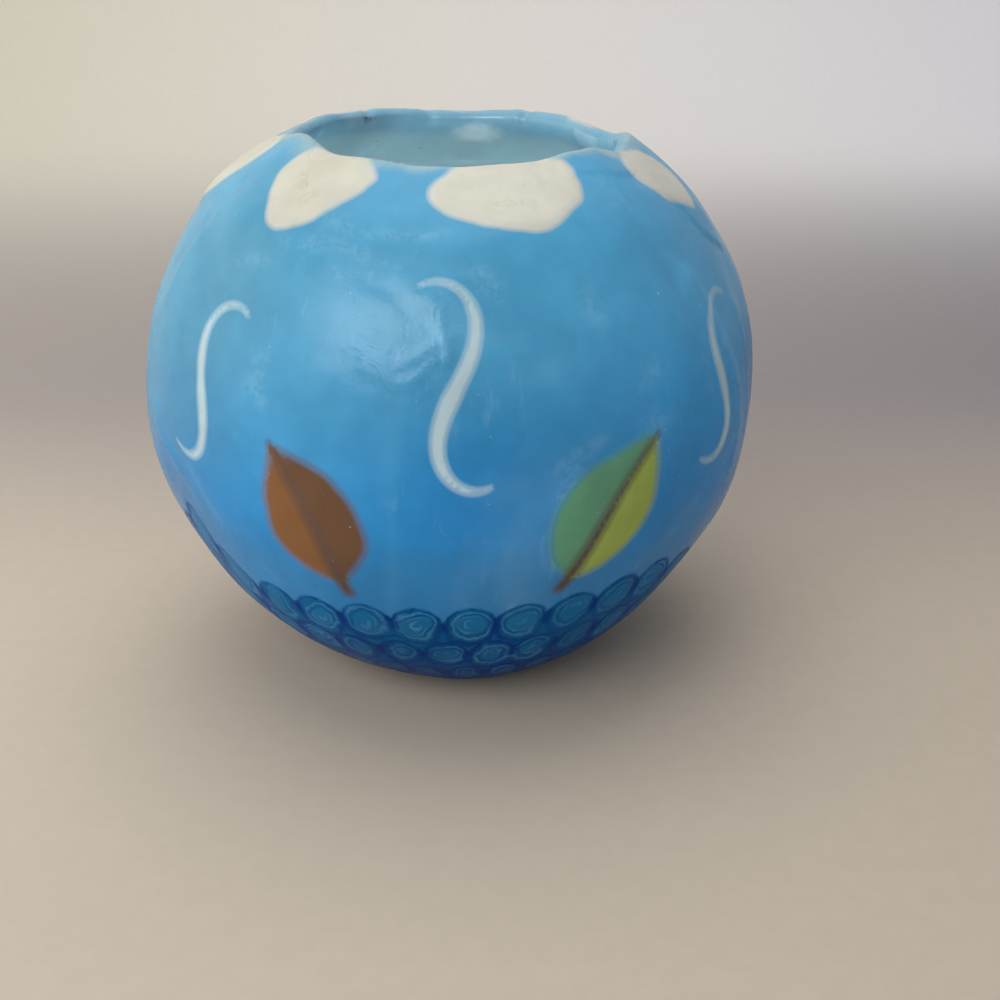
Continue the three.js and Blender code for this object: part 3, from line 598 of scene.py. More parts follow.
bulge = np.zeros(len(ideal))
for i, s in enumerate(PETALS):
    outline = turned(petal_outline(s["width"], s["length"], s["lean"], i), s["turn"])
    (d,) = near_field(s["polar"], s["azimuth"], 22, lambda xy: (outline_distance(xy, outline),))
    field(f"white_petal_{i + 1}", "white", [f"white_petal_{i + 1}"], d)
    bulge += (0.12, 0.14, 0.12, 0.42, 0.16, 0.14, 0.28)[i] * smooth(-d / 0.9)
for i, s in enumerate(SCROLLS):
    outline = turned(scroll_outline(s["length"], s["hook"], s["width"], s["flip"], i), s["turn"])
    (d,) = near_field(s["polar"], s["azimuth"], 24, lambda xy: (outline_distance(xy, outline),))
    field(f"white_scroll_{i + 1}", "stroke", [f"white_scroll_{i + 1}"], d)
    bulge += 0.05 * smooth(-d / 0.9)
for i, s in enumerate(LEAVES):
    rib = leaf_rib(s["length"], s["bend"], s["stem"])
    blade = leaf_blade(s["length"], s["width"], s["bend"], i)

    def leaf(xy, s=s, rib=rib, blade=blade):
        local = turned(xy, -s["turn"])
        t = local[:, 1] / s["length"] + 0.5
        side = local[:, 0] - s["bend"] * np.sin(math.pi * t * 0.9)
        d_rib = outline_distance(local, rib)
        d_blade = outline_distance(local, blade)
        return (
            d_rib,
            np.maximum(np.maximum(d_blade, side), -d_rib),
            np.maximum(np.maximum(d_blade, -side), -d_rib),
        )

    d_rib, d_left, d_right = near_field(s["polar"], s["azimuth"], 22, leaf)
    first, second = TONES[s["tone"]]
    field(f"leaf_{i + 1}_midrib", "brown", [f"leaf_{i + 1}_midrib"], d_rib)
    field(f"leaf_{i + 1}_blade_left", first, [f"leaf_{i + 1}_blade_left"], d_left)
    field(f"leaf_{i + 1}_blade_right", second, [f"leaf_{i + 1}_blade_right"], d_right)
    bulge += 0.06 * smooth(-np.minimum(d_left, d_right) / 1.5)

inlays = np.min(fields, axis=0)

# The wave band. Each scallop's top is an arc of a circle; `arc` is how far below its top a point is.
MM_PER_DEG = BALL_R * math.pi / 180


def scallop_row(valley_deg, rise_deg, shift_deg, drop):
    """Distance below the scalloped line (mm, negative above it), and the distance below the nearest
    scallop's own arc."""
    pitch = 360.0 / SCALLOPS
    k = np.mod(A - shift_deg, pitch) - pitch / 2  # 0 at a crest, +-pitch/2 at the valleys
    across = np.sin(np.radians(np.clip(THETA, 1, 179)))
    x = np.radians(k) * BALL_R * across
    half = math.radians(pitch / 2) * BALL_R * math.sin(math.radians(valley_deg))
    rise = rise_deg * MM_PER_DEG
    h = (half**2 - rise**2) / (2 * rise)
    radius = rise + h
    down = (THETA - valley_deg) * MM_PER_DEG  # below the valleys' level
    below = radius - np.hypot(x, down - h)
    line = np.where(down > 0, np.maximum(below, down), below)
    # No two scallops were drawn alike: each one's arcs are pulled off its centre and squeezed.
    which = np.floor(np.mod(A - shift_deg, 360.0) / pitch).astype(int) % SCALLOPS
    rng = np.random.default_rng(int(valley_deg * 10))
    dx, dy = rng.uniform(-0.6, 0.6, SCALLOPS)[which], rng.uniform(-0.4, 0.6, SCALLOPS)[which]
    tilt, squeeze = rng.uniform(-0.6, 0.6, SCALLOPS)[which], rng.uniform(0.88, 1.18, SCALLOPS)[which]
    inward = smooth(below / 2.3)
    px, py = x - dx * inward, down - h - dy * inward
    py = np.where(py > 0, py * drop, py)  # drawn out downwards, to the next row's crests
    qx, qy = px * np.cos(tilt) - py * np.sin(tilt), px * np.sin(tilt) + py * np.cos(tilt)
    lean, open_at = rng.uniform(0.15, 0.60, SCALLOPS)[which], rng.uniform(-math.pi, math.pi, SCALLOPS)[which]
    qx = qx + lean * qy * inward
    below = radius - np.hypot(qx * (1 + (squeeze - 1) * inward), qy / (1 + (squeeze - 1) * inward))
    curl = 0.5 + 0.5 * np.cos(np.arctan2(qy, qx) - open_at)
    # How near the point is to the notch between two scallops, 0..1.
    gap = np.radians(pitch / 2 - np.abs(k)) * BALL_R * across
    notch = smooth(1.2 - gap / 1.2) * smooth(1.0 - (down - 2.0) / 1.4)
    return line, below, notch, curl


wob = 0.30 * noise3(ideal, 3.2, 41) + 0.16 * noise3(ideal, 1.6, 42)
PITCH = 360.0 / SCALLOPS
drawn = [
    scallop_row(BAND["top"], RISE["top"], 0.0, 0.7),
    scallop_row(BAND["middle"], RISE["middle"], PITCH / 2, 0.62),
    scallop_row(BAND["third"], RISE["third"], 0.0, 0.55),
    scallop_row(BAND["low"], RISE["low"], PITCH / 2, 0.5),
]
line1, line2, line3, line4 = (row[0] + wob * 0.6 for row in drawn)
row1 = np.maximum(-line1, line2)
row2 = np.maximum(-line2, line3)
row3 = np.maximum(-line3, line4)
cap = -line4
# Each row is four strips, cut apart where two scallops meet.
sector_cuts = {"upper": 3, "middle": 0.5, "lower": 2}
for kind, row, label in (("wave", row1, "upper"), ("deep", row2, "middle"), ("deeper", row3, "lower")):
    cuts = [(sector_cuts[label] + SCALLOPS // 4 * i) * PITCH for i in range(4)]
    for i, a in enumerate(cuts):
        # Distance outside this strip's quarter, in mm round the ball.
        off = angle_between(A, a + 45) - 45
        outside = off * MM_PER_DEG * np.sin(np.radians(THETA))
        name = f"wave_strip_{label}_{i + 1}"
        field(name, kind, [name], np.maximum(row, outside))
field("base_cap", "cap", ["base_cap"], cap)
field("sky_veneer", "sky", ["sky_veneer"], np.maximum(line1, -inlays))

F = np.stack(fields, axis=1)
ARC, NOTCH, CURL = np.full(len(ideal), -9.0), np.zeros(len(ideal)), np.zeros(len(ideal))
for line, (_, below, notch, curl) in zip((line1, line2, line3, line4), drawn):
    ARC = np.where(line < 0, ARC, below)
    NOTCH = np.where(line < 0, NOTCH, notch)
    CURL = np.where(line < 0, CURL, curl)
labels = F.argmin(axis=1)
second = F.copy()
second[np.arange(len(F)), labels] = 1e9
NEAR = second.argmin(axis=1)
EDGE = (second.min(axis=1) - F[np.arange(len(F)), labels]) / 2

# ---- the grid in place: warped, then raised and lowered along its normals ------------------------------
LIP_BEVEL = 4.2  # how far down the inside the lip's edge is worn round


def inner_lip(steps_n):
    mid, half = (BALL_R + LIP_IN) / 2, (BALL_R - LIP_IN) / 2
    out = []
    for a in np.linspace(0, math.pi / 2, steps_n, endpoint=False):
        th = math.radians(LIP_DEG + math.degrees(LIP_BEVEL * (1 - math.cos(a)) / mid))
        r = mid - half * math.sin(a)
        out.append((r * math.sin(th), r * math.cos(th)))
    return out


def ring(x, z):
    a = np.radians(azimuth)
    return np.stack([x * np.cos(a), x * np.sin(a), np.full(COLUMNS, z)], axis=1)


placed = hand(ideal)
up_normals = vertex_normals(placed, tris)
# The crest's normals come from the skin's side and the core's side together, so the two meet smoothly.
over = placed[COLUMNS : 2 * COLUMNS] - hand(ring(*inner_lip(13)[1]))
along = np.roll(placed[:COLUMNS], -1, axis=0) - np.roll(placed[:COLUMNS], 1, axis=0)
crest_normals = np.cross(over, along)
crest_normals /= np.linalg.norm(crest_normals, axis=1)[:, None]
crest_normals *= np.sign((crest_normals * up_normals[:COLUMNS]).sum(axis=1))[:, None]
up_normals[:COLUMNS] = crest_normals
lift = relief(ideal, THETA, PHI) + bulge * smooth((THETA - LIP_DEG - 1.5) / 3.0)
placed = placed + up_normals * lift[:, None]
normals = vertex_normals(placed, tris)
normals[:COLUMNS] = crest_normals
crest_points = placed[:COLUMNS].copy()
placed_in = hand(inner)
# The pale smears' mask, with the painted edge highlight among them.
SMEAR_AND_HIGHLIGHT = np.zeros(len(ideal))
for n, line in enumerate(PALE_SMEARS_AND_EDGE_HIGHLIGHT):
    SMEAR_AND_HIGHLIGHT = np.maximum(SMEAR_AND_HIGHLIGHT, np.exp(-((line_distance(THETA, PHI, line) / (0.9 + 0.4 * (n % 3))) ** 2)))
DIRT = np.zeros(len(ideal))
for line in GRIME:
    DIRT = np.maximum(DIRT, np.exp(-((line_distance(THETA, PHI, line) / 1.6) ** 2)))
CRINKLE = crinkled(THETA, PHI)

# ---- cut every triangle where the slice on either side is equally near ---------------------------------
L = labels[tris]
same = (L[:, 0] == L[:, 1]) & (L[:, 1] == L[:, 2])
all_three = (L[:, 0] != L[:, 1]) & (L[:, 1] != L[:, 2]) & (L[:, 0] != L[:, 2])
pieces = {k: [tris[same & (L[:, 0] == k)]] for k in range(len(names))}

extra_from, extra_to, extra_t, extra_pair = [], [], [], []
known = {}


def crossing(p, q):
    """The point on the edge p-q where the slices of its two ends are equally near."""
    key = (p, q) if p < q else (q, p)
    if key in known:
        return known[key]
    p, q = key
    a, b = labels[p], labels[q]
    fp, fq = F[p, a] - F[p, b], F[q, a] - F[q, b]
    t = fp / (fp - fq) if abs(fp - fq) > 1e-9 else 0.5
    known[key] = len(ideal) + len(extra_t)
    extra_from.append(p)
    extra_to.append(q)
    extra_t.append(min(0.96, max(0.04, t)))
    extra_pair.append((a, b))
    return known[key]


cut = {k: [] for k in range(len(names))}
for tri, lab in zip(tris[~same & ~all_three].tolist(), L[~same & ~all_three].tolist()):
    odd = 0 if lab[1] == lab[2] else (1 if lab[0] == lab[2] else 2)
    o, p, q = tri[odd], tri[(odd + 1) % 3], tri[(odd + 2) % 3]
    a, b = lab[odd], lab[(odd + 1) % 3]
    x, y = crossing(o, p), crossing(o, q)
    cut[a].append((o, x, y))
    cut[b] += [(x, p, q), (x, q, y)]

centres = []
for tri, lab in zip(tris[all_three].tolist(), L[all_three].tolist()):
    x = [crossing(tri[i], tri[(i + 1) % 3]) for i in range(3)]
    centres.append((tri, lab, x))
count = len(ideal) + len(extra_t)
for n, (tri, lab, x) in enumerate(centres):
    c = count + n
    for i in range(3):
        cut[lab[i]] += [(tri[i], x[i], c), (tri[i], c, x[(i + 2) % 3])]

f, t_, w = np.array(extra_from), np.array(extra_to), np.array(extra_t)[:, None]


def spread(values):
    """Values at the grid's points carried to the cut points and triangle centres."""
    v = values if values.ndim == 2 else values[:, None]
    out = [v, v[f] * (1 - w) + v[t_] * w]
    if centres:
        out.append(np.array([v[list(tri)].mean(axis=0) for tri, _, _ in centres]))
    out = np.concatenate(out)
    return out if values.ndim == 2 else out[:, 0]


all_placed, all_inner = spread(placed), spread(placed_in)
all_normals = spread(normals)
lengths = np.linalg.norm(all_normals, axis=1)[:, None]
# Where a grid point has no faces of its own to take a normal from, the way out from the centre serves.
all_normals = np.where(lengths > 1e-9, all_normals, all_placed)
all_normals /= np.linalg.norm(all_normals, axis=1)[:, None]
all_theta, all_arc, all_notch = spread(THETA), spread(ARC), spread(NOTCH)
all_smear_and_highlight, all_dirt, all_crinkle, all_curl = spread(SMEAR_AND_HIGHLIGHT), spread(DIRT), spread(CRINKLE), spread(CURL)
all_phi = np.degrees(np.arctan2(all_placed[:, 1], all_placed[:, 0]))
all_near = np.concatenate([NEAR, np.full(len(w) + len(centres), -1)])
all_edge = np.concatenate([EDGE, np.zeros(len(w) + len(centres))])
pair_table = {len(ideal) + i: p for i, p in enumerate(extra_pair)}
pair_table.update({count + n: tuple(lab) for n, (_, lab, _) in enumerate(centres)})


# ---- mesh making ---------------------------------------------------------------------------------------
def make_mesh(name, points, triangles, corner_normals=None, values=None, colours=None, at=None):
    """A smooth-shaded mesh object from millimetre points about the ball's centre."""
    place = CENTRE if at is None else at
    me = bpy.data.meshes.new(name)
    me.vertices.add(len(points))
    me.vertices.foreach_set("co", ((points + place) * 0.001).astype(np.float32).ravel())
    me.loops.add(len(triangles) * 3)
    me.loops.foreach_set("vertex_index", triangles.astype(np.int32).ravel())
    me.polygons.add(len(triangles))
    me.polygons.foreach_set("loop_start", np.arange(0, len(triangles) * 3, 3, dtype=np.int32))
    me.polygons.foreach_set("use_smooth", np.ones(len(triangles), bool))
    me.update(calc_edges=True)
    for key, v in (values or {}).items():
        me.attributes.new(key, "FLOAT", "POINT").data.foreach_set("value", v.astype(np.float32))
    for key, v in (colours or {}).items():
        rgba = np.concatenate([v, np.ones((len(v), 1))], axis=1)
        me.attributes.new(key, "FLOAT_COLOR", "POINT").data.foreach_set(
            "color", rgba.astype(np.float32).ravel()
        )
    if corner_normals is not None:
        me.normals_split_custom_set(corner_normals.astype(np.float32))
    ob = bpy.data.objects.new(name, me)
    bpy.context.scene.collection.objects.link(ob)
    return ob


def face_normals(points, triangles):
    a, b, c = points[triangles[:, 0]], points[triangles[:, 1]], points[triangles[:, 2]]
    n = np.cross(b - a, c - a)
    return n / np.maximum(np.linalg.norm(n, axis=1), 1e-12)[:, None]


def solid_piece(k):
    """The slice's outside, its back, and the walls between them, as one closed mesh."""
    t = np.concatenate([pieces[k][0], np.array(cut[k], int).reshape(-1, 3)])
    used = np.unique(t)
    index = np.full(len(all_placed), -1)
    index[used] = np.arange(len(used))
    t = index[t]
    top, back = all_placed[used], all_inner[used]
    n = len(used)
    edges = np.concatenate([t[:, [0, 1]], t[:, [1, 2]], t[:, [2, 0]]])
    key = np.minimum(edges[:, 0], edges[:, 1]) * n + np.maximum(edges[:, 0], edges[:, 1])
    unique, where, times = np.unique(key, return_index=True, return_counts=True)
    rim = edges[where[times == 1]]
    wall = np.concatenate([
        np.stack([rim[:, 1], rim[:, 0], rim[:, 0] + n], axis=1),
        np.stack([rim[:, 1], rim[:, 0] + n, rim[:, 1] + n], axis=1),
    ])
    points = np.concatenate([top, back])
    triangles = np.concatenate([t, t[:, ::-1] + n, wall])
    outer = all_normals[used][t.ravel()]
    rest = np.repeat(face_normals(points, triangles[len(t):]), 3, axis=0)
    near = all_near[used].copy()
    for i, u in enumerate(used):
        if near[i] < 0 or near[i] == k:
            near[i] = next((p for p in pair_table.get(u, ()) if p != k), k)
    own = colour_of(kinds[k], all_theta[used], all_phi[used])
    other = own.copy()
    soft = np.full(n, SOFT[kinds[k]])
    for m in np.unique(near):
        pick = near == m
        other[pick] = colour_of(kinds[m], all_theta[used][pick], all_phi[used][pick])
        soft[pick] = max(SOFT[kinds[k]], SOFT[kinds[m]])
    twice = lambda v: np.concatenate([v, v])
    return make_mesh(
        names[k] + "_wax", points, triangles, np.concatenate([outer, rest]),
        values={"edge": twice(all_edge[used]), "arc": twice(all_arc[used]), "notch": twice(all_notch[used]), "soft": twice(soft),
                "pale": twice(all_smear_and_highlight[used]), "dirt": twice(all_dirt[used]), "crinkle": twice(all_crinkle[used]),
                "curl": twice(all_curl[used])},
        colours={"own": twice(own), "near": twice(other)},
    )


# ---- materials --------------------------------------------------------------------------------------
class Tree:
    """A thin helper for building node materials."""

    def __init__(self, name):
        self.material = bpy.data.materials.new(name)
        self.material.use_nodes = True
        self.nodes = self.material.node_tree.nodes
        self.links = self.material.node_tree.links
        self.nodes.clear()
        self.out = self.nodes.new("ShaderNodeOutputMaterial")
        self.bsdf = self.nodes.new("ShaderNodeBsdfPrincipled")
        self.links.new(self.bsdf.outputs[0], self.out.inputs["Surface"])
        self.coords = self.nodes.new("ShaderNodeTexCoord").outputs["Object"]

    def put(self, socket, value):
        if isinstance(value, bpy.types.NodeSocket):
            self.links.new(value, socket)
        elif value is not None:
            if hasattr(socket.default_value, "__len__") and not hasattr(value, "__len__"):
                value = (value,) * len(socket.default_value)
            if hasattr(value, "__len__") and len(socket.default_value) == 4 and len(value) == 3:
                value = (*value, 1.0)
            socket.default_value = value

    def math(self, op, a, b=None, c=None, clamp=False):
        n = self.nodes.new("ShaderNodeMath")
        n.operation = op
        n.use_clamp = clamp
        for s, v in zip(n.inputs, (a, b, c)):
            self.put(s, v)
        return n.outputs[0]

    def vector(self, op, a, b=None):
        n = self.nodes.new("ShaderNodeVectorMath")
        n.operation = op
        self.put(n.inputs[0], a)
        if op == "SCALE":
            self.put(n.inputs["Scale"], b)
        elif b is not None:
            self.put(n.inputs[1], b)
        return n.outputs[0]

    def mix(self, fac, a, b, blend="MIX"):
        n = self.nodes.new("ShaderNodeMix")
        n.data_type = "RGBA"
        n.blend_type = blend
        self.put(n.inputs[0], fac)
        self.put(n.inputs[6], a)
        self.put(n.inputs[7], b)
        return n.outputs[2]

    def noise(self, scale, detail=2.0, rough=0.5, vector=None, distort=0.0, out="Fac"):
        n = self.nodes.new("ShaderNodeTexNoise")
        self.put(n.inputs["Vector"], self.coords if vector is None else vector)
        n.inputs["Scale"].default_value = scale
        n.inputs["Detail"].default_value = detail
        n.inputs["Roughness"].default_value = rough
        n.inputs["Distortion"].default_value = distort
        return n.outputs[out]

    def voronoi(self, scale, feature="F1", vector=None, out="Distance", randomness=1.0):
        n = self.nodes.new("ShaderNodeTexVoronoi")
        n.feature = feature
        self.put(n.inputs["Vector"], self.coords if vector is None else vector)
        n.inputs["Scale"].default_value = scale
        n.inputs["Randomness"].default_value = randomness
        return n.outputs[out]

    def span(self, value, low, high, to_low=0.0, to_high=1.0, smooth_step=True):
        n = self.nodes.new("ShaderNodeMapRange")
        n.interpolation_type = "SMOOTHSTEP" if smooth_step else "LINEAR"
        self.put(n.inputs["Value"], value)
        for s, v in zip(("From Min", "From Max", "To Min", "To Max"), (low, high, to_low, to_high)):
            self.put(n.inputs[s], v)
        return n.outputs[0]

    def attribute(self, name, out="Fac"):
        n = self.nodes.new("ShaderNodeAttribute")
        n.attribute_name = name
        return n.outputs[out]

    def bump(self, height, distance, strength=1.0, normal=None):
        n = self.nodes.new("ShaderNodeBump")
        n.inputs["Strength"].default_value = strength
        n.inputs["Distance"].default_value = distance
        self.put(n.inputs["Height"], height)
        if normal is not None:
            self.put(n.inputs["Normal"], normal)
        return n.outputs[0]

    def xyz(self, vector=None):
        n = self.nodes.new("ShaderNodeSeparateXYZ")
        self.put(n.inputs[0], self.coords if vector is None else vector)
        return n.outputs


def wax(name, kind):
    """Satin, hand-worked wax, seen through a thin clear blue skin that softens every colour edge."""
    t = Tree(name)
    edge, soft = t.attribute("edge"), t.attribute("soft")
    # Half of the neighbour's colour at the seam, none of it further in than `soft`.
    ratio = t.math("DIVIDE", edge, soft)
    mixed = t.span(ratio, 0.0, 1.0, 0.5, 0.0)
    base = t.mix(mixed, t.attribute("own", "Color"), t.attribute("near", "Color"))

    if kind in ("wave", "deep", "deeper", "cap"):
        # A deep outline, a thin pale ring and an open curl inside each scallop, all wavering as if
        # pulled by hand, and a dark notch between two.
        waver = t.math("MULTIPLY", t.math("SUBTRACT", t.noise(460, 2, 0.6), 0.5), 1.5)
        waver2 = t.math("MULTIPLY", t.math("SUBTRACT", t.noise(150, 1, 0.5), 0.5), 2.6)
        d = t.math("ADD", t.attribute("arc"), t.math("ADD", waver, waver2))
        curl = t.attribute("curl")
        wound = t.math("ADD", d, t.math("MULTIPLY", curl, 0.9))
        width = t.span(t.noise(240, 1), 0.3, 0.7, 0.6, 1.35)

        def stripe(at, half, distance=None):
            off = t.math("ABSOLUTE", t.math("SUBTRACT", d if distance is None else distance, at))
            return t.span(t.math("DIVIDE", off, width), 0.0, half, 1.0, 0.0)

        dark = t.math("MAXIMUM", stripe(0.05, 0.85), t.math("MULTIPLY", stripe(1.75, 0.40), 0.5))
        inner = t.math("MULTIPLY", stripe(2.65, 0.40, wound), t.span(curl, 0.10, 0.75, 0.10, 0.95))
        fleck = t.math("MULTIPLY", stripe(3.80, 0.45, wound), t.span(curl, 0.35, 0.9))
        light = t.math("MAXIMUM", stripe(1.15, 0.42), t.math("MAXIMUM", inner, fleck))
        heart = t.span(d, 1.2, 2.4)
        if kind == "cap":
            reach = t.span(t.attribute("arc"), 2.2, 3.4, 1.0, 0.0)
            dark, light, heart = (t.math("MULTIPLY", v, reach) for v in (dark, light, heart))
        strength = t.span(t.noise(75, 1), 0.30, 0.70, 0.45, 1.0)
        faint = {"wave": 1.0, "deep": 0.85, "deeper": 0.55, "cap": 0.4}[kind]
        base = t.mix(t.math("MULTIPLY", heart, 0.42 * faint), base, (0.020, 0.175, 0.385))
        base = t.mix(t.math("MULTIPLY", light, t.math("MULTIPLY", strength, 0.60 * faint)), base, (0.085, 0.300, 0.510))
        shade = t.math("MAXIMUM", t.math("MULTIPLY", dark, strength), t.attribute("notch"))
        base = t.mix(t.math("MULTIPLY", shade, 0.92), base, (0.001, 0.028, 0.200))
        if kind in ("deeper", "cap"):
            # Streaks of a stronger blue drawn round the ball.
            smudge = t.noise(1.0, 2, 0.5, vector=t.vector("MULTIPLY", t.coords, (38, 38, 300)), distort=0.5)
            base = t.mix(t.span(smudge, 0.52, 0.72, 0.0, 0.7), base, (0.0006, 0.014, 0.180))
        line_height = t.math("SUBTRACT", light, dark)
    if kind == "white":
        # Faint grey-tan smudges and a slightly dirty edge.
        smear = t.noise(150, 4, 0.62, distort=0.6)
        smear = t.math("MULTIPLY", t.span(smear, 0.56, 0.74), t.span(t.noise(45, 1), 0.42, 0.62))
        base = t.mix(t.math("MULTIPLY", smear, 0.34), base, (0.42, 0.39, 0.33))
        base = t.mix(t.math("MULTIPLY", t.span(edge, 0.2, 2.2, 1.0, 0.0), 0.16), base, (0.38, 0.47, 0.52))
        warped = t.vector("ADD", t.coords, t.vector("SCALE", t.noise(700, 2, 0.6, out="Color"), 0.0012))
        crack = t.span(t.voronoi(330, "DISTANCE_TO_EDGE", vector=warped), 0.0, 0.055, 1.0, 0.0)
        crack = t.math("MULTIPLY", crack, t.span(t.attribute("dirt"), 0.60, 0.95))
        cloud = t.math("MULTIPLY", t.attribute("dirt"), t.span(t.noise(420, 3, 0.6), 0.42, 0.66))
        base = t.mix(t.math("MULTIPLY", cloud, 0.24), base, (0.30, 0.28, 0.22))
        base = t.mix(t.math("MULTIPLY", crack, 0.22), base, (0.20, 0.18, 0.14))

    # Slow mottling, streaks drawn down the ball, small pale specks and pits.
    mottle = t.span(t.noise(38, 3, 0.55), 0.25, 0.75, 0.90, 1.09)
    grain = t.span(t.noise(260, 2, 0.6), 0.3, 0.7, 0.965, 1.03)
    factor = t.math("MULTIPLY", mottle, grain)
    base = t.mix(1.0, base, t.mix(1.0, (0, 0, 0), factor, "ADD"), "MULTIPLY")
    if kind in ("sky", "wave", "deep", "deeper", "cap", "core"):
        # A thin milky bloom in patches where the surface was rubbed.
        low = kind in ("wave", "deep", "deeper", "cap")
        bloom = t.math("MULTIPLY", t.span(t.noise(24, 3, 0.6, distort=0.8), 0.52, 0.76), 0.16)
        base = t.mix(bloom, base, (0.03, 0.20, 0.42) if low else (0.30, 0.56, 0.74))
        x, y, z = t.xyz()
        streak = t.noise(1.0, 3, 0.6, vector=t.vector("MULTIPLY", t.coords, (420, 420, 70)))
        streak = t.math("MULTIPLY", t.span(streak, 0.56, 0.74), t.span(t.noise(30, 1), 0.5, 0.66))
        base = t.mix(t.math("MULTIPLY", streak, 0.11), base, (0.04, 0.22, 0.44) if low else (0.40, 0.62, 0.74))
        if kind == "sky":
            # Pale smears from the mask; one of them is a painted highlight at the wax's thin edge.
            pale_patch = t.math("MULTIPLY", t.attribute("pale"), t.span(t.noise(520, 3, 0.6, distort=1.0), 0.34, 0.62))
            base = t.mix(t.math("MULTIPLY", pale_patch, 0.16), base, (0.30, 0.55, 0.70))
            # Broad, smeared clouds of deeper and paler blue where sheets of colour were rolled together.
            drag = t.noise(1.0, 3, 0.55, vector=t.vector("MULTIPLY", t.coords, (46, 46, 15)), distort=1.2)
            base = t.mix(t.span(drag, 0.50, 0.80, 0.0, 0.14), base, (0.015, 0.150, 0.380))
            base = t.mix(t.span(drag, 0.20, 0.46, 0.20, 0.0), base, (0.110, 0.400, 0.620))
            # Fine, broken streaks where a palm slid over the wax.
            slide = t.noise(1.0, 3, 0.65, vector=t.vector("MULTIPLY", t.coords, (300, 300, 110)), distort=1.5)
            slide = t.math("MULTIPLY", t.span(slide, 0.58, 0.76), t.span(t.noise(42, 2), 0.48, 0.66))
            base = t.mix(t.math("MULTIPLY", slide, 0.13), base, (0.28, 0.56, 0.74))
    speck = t.math("MULTIPLY", t.span(t.voronoi(170), 0.025, 0.05, 1.0, 0.0), t.span(t.noise(75, 0), 0.56, 0.62))
    base = t.mix(t.math("MULTIPLY", speck, 0.42), base, (0.66, 0.76, 0.80) if kind != "white" else (0.30, 0.30, 0.28))
    dust = t.math("MULTIPLY", t.span(t.voronoi(430), 0.030, 0.075, 1.0, 0.0), t.span(t.noise(90, 1), 0.50, 0.62))
    base = t.mix(t.math("MULTIPLY", dust, 0.30), base, (0.60, 0.74, 0.82) if kind != "white" else (0.34, 0.32, 0.28))
    t.put(t.bsdf.inputs["Base Color"], base)

    rough = t.span(t.noise(55, 3, 0.6), 0.2, 0.8, 0.22, 0.34)
    rough = t.math("ADD", rough, t.math("MULTIPLY", speck, 0.15))
    t.put(t.bsdf.inputs["Roughness"], rough)
    t.bsdf.inputs["IOR"].default_value = 1.25 if kind in ("wave", "deep", "deeper", "cap") else 1.44
    t.bsdf.inputs["Specular IOR Level"].default_value = 0.05 if kind in ("wave", "deep", "deeper", "cap") else 0.18
    t.bsdf.inputs["Subsurface Weight"].default_value = SUBSURFACE[kind if kind in SUBSURFACE else "else"]
    t.bsdf.inputs["Subsurface Radius"].default_value = (0.9, 1.3, 1.8) if kind == "white" else (0.5, 1.1, 1.9)
    t.bsdf.inputs["Subsurface Scale"].default_value = 0.0008

    # Relief: worked facets, patches of fine crinkles, and a waxy grain.
    broad = t.noise(95, 2, 0.5)
    crinkle = t.noise(230, 2, 0.55, distort=0.6)
    folds = t.math("ABSOLUTE", t.math("SUBTRACT", t.noise(210, 2, 0.5, distort=2.2), 0.5))
    patch = t.math("ADD", t.math("MULTIPLY", t.span(t.noise(26, 1), 0.45, 0.70), 0.35), t.attribute("crinkle"), clamp=True)
    fine = t.noise(2400, 2, 0.6)
    n = t.bump(broad, 0.00034, 0.8)
    n = t.bump(t.math("MULTIPLY", crinkle, patch), 0.00011, 0.6, n)
    n = t.bump(t.math("MULTIPLY", t.span(folds, 0.0, 0.14, 1.0, 0.0), patch), 0.00003, 0.5, n)
    if kind in ("wave", "deep", "deeper"):
        n = t.bump(line_height, 0.00006, 0.7, n)
    n = t.bump(t.math("SUBTRACT", 1.0, speck), 0.00006, 0.8, n)
    n = t.bump(fine, 0.000012, 0.7, n)
    t.put(t.bsdf.inputs["Normal"], n)
    return t.material


SUBSURFACE = {"core": 0.0, "else": 0.0}
materials = {}


def wax_for(kind):
    if kind not in materials:
        materials[kind] = wax(f"wax_{kind}", kind)
    return materials[kind]


skins = []
for k, name in enumerate(names):
    ob = solid_piece(k)
    ob.data.materials.append(wax_for(kinds[k]))
    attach(ob, "shell")
    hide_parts(*members[k])
    skins.append(ob)


# ---- the core: the inside half of the lip, the cavity, and its floor -----------------------------------
def core_profile():
    mid = (BALL_R + LIP_IN) / 2
    inner_r = lambda d: CORE_IN + (LIP_IN - CORE_IN) * float(smooth((56 - d) / 20))
    pts = inner_lip(13)
    first = LIP_DEG + math.degrees(LIP_BEVEL / mid)
    ledge = LEDGE_Z - BALL_Z
    last = math.degrees(math.acos((ledge + 1.6) / CORE_IN))
    for d in np.linspace(first, last, 118):
        r = inner_r(d)
        pts.append((r * math.sin(math.radians(d)), r * math.cos(math.radians(d))))
    # Fillet to the floor of the cavity, the floor, the shallow seat.
    x0, z0 = pts[-1]
    for fr in (0.25, 0.5, 0.75, 1.0):
        pts.append((x0 - 2.0 * fr, z0 + (ledge - z0) * (1 - (1 - fr) ** 2)))
    x1 = pts[-1][0]
    pts += [(x, ledge) for x in np.linspace(x1 - 0.6, SEAT_R + 0.7, 4)]
    pts += [(SEAT_R + 0.25, ledge - 0.1), (SEAT_R + 0.05, ledge - 0.35), (SEAT_R, SEAT_Z - BALL_Z + 0.3),
            (SEAT_R - 0.15, SEAT_Z - BALL_Z + 0.06), (SEAT_R - 0.5, SEAT_Z - BALL_Z)]
    pts += [(x, SEAT_Z - BALL_Z) for x in (17.0, 13.0, 9.0, 5.0, 2.0, 0.0)]
    return pts


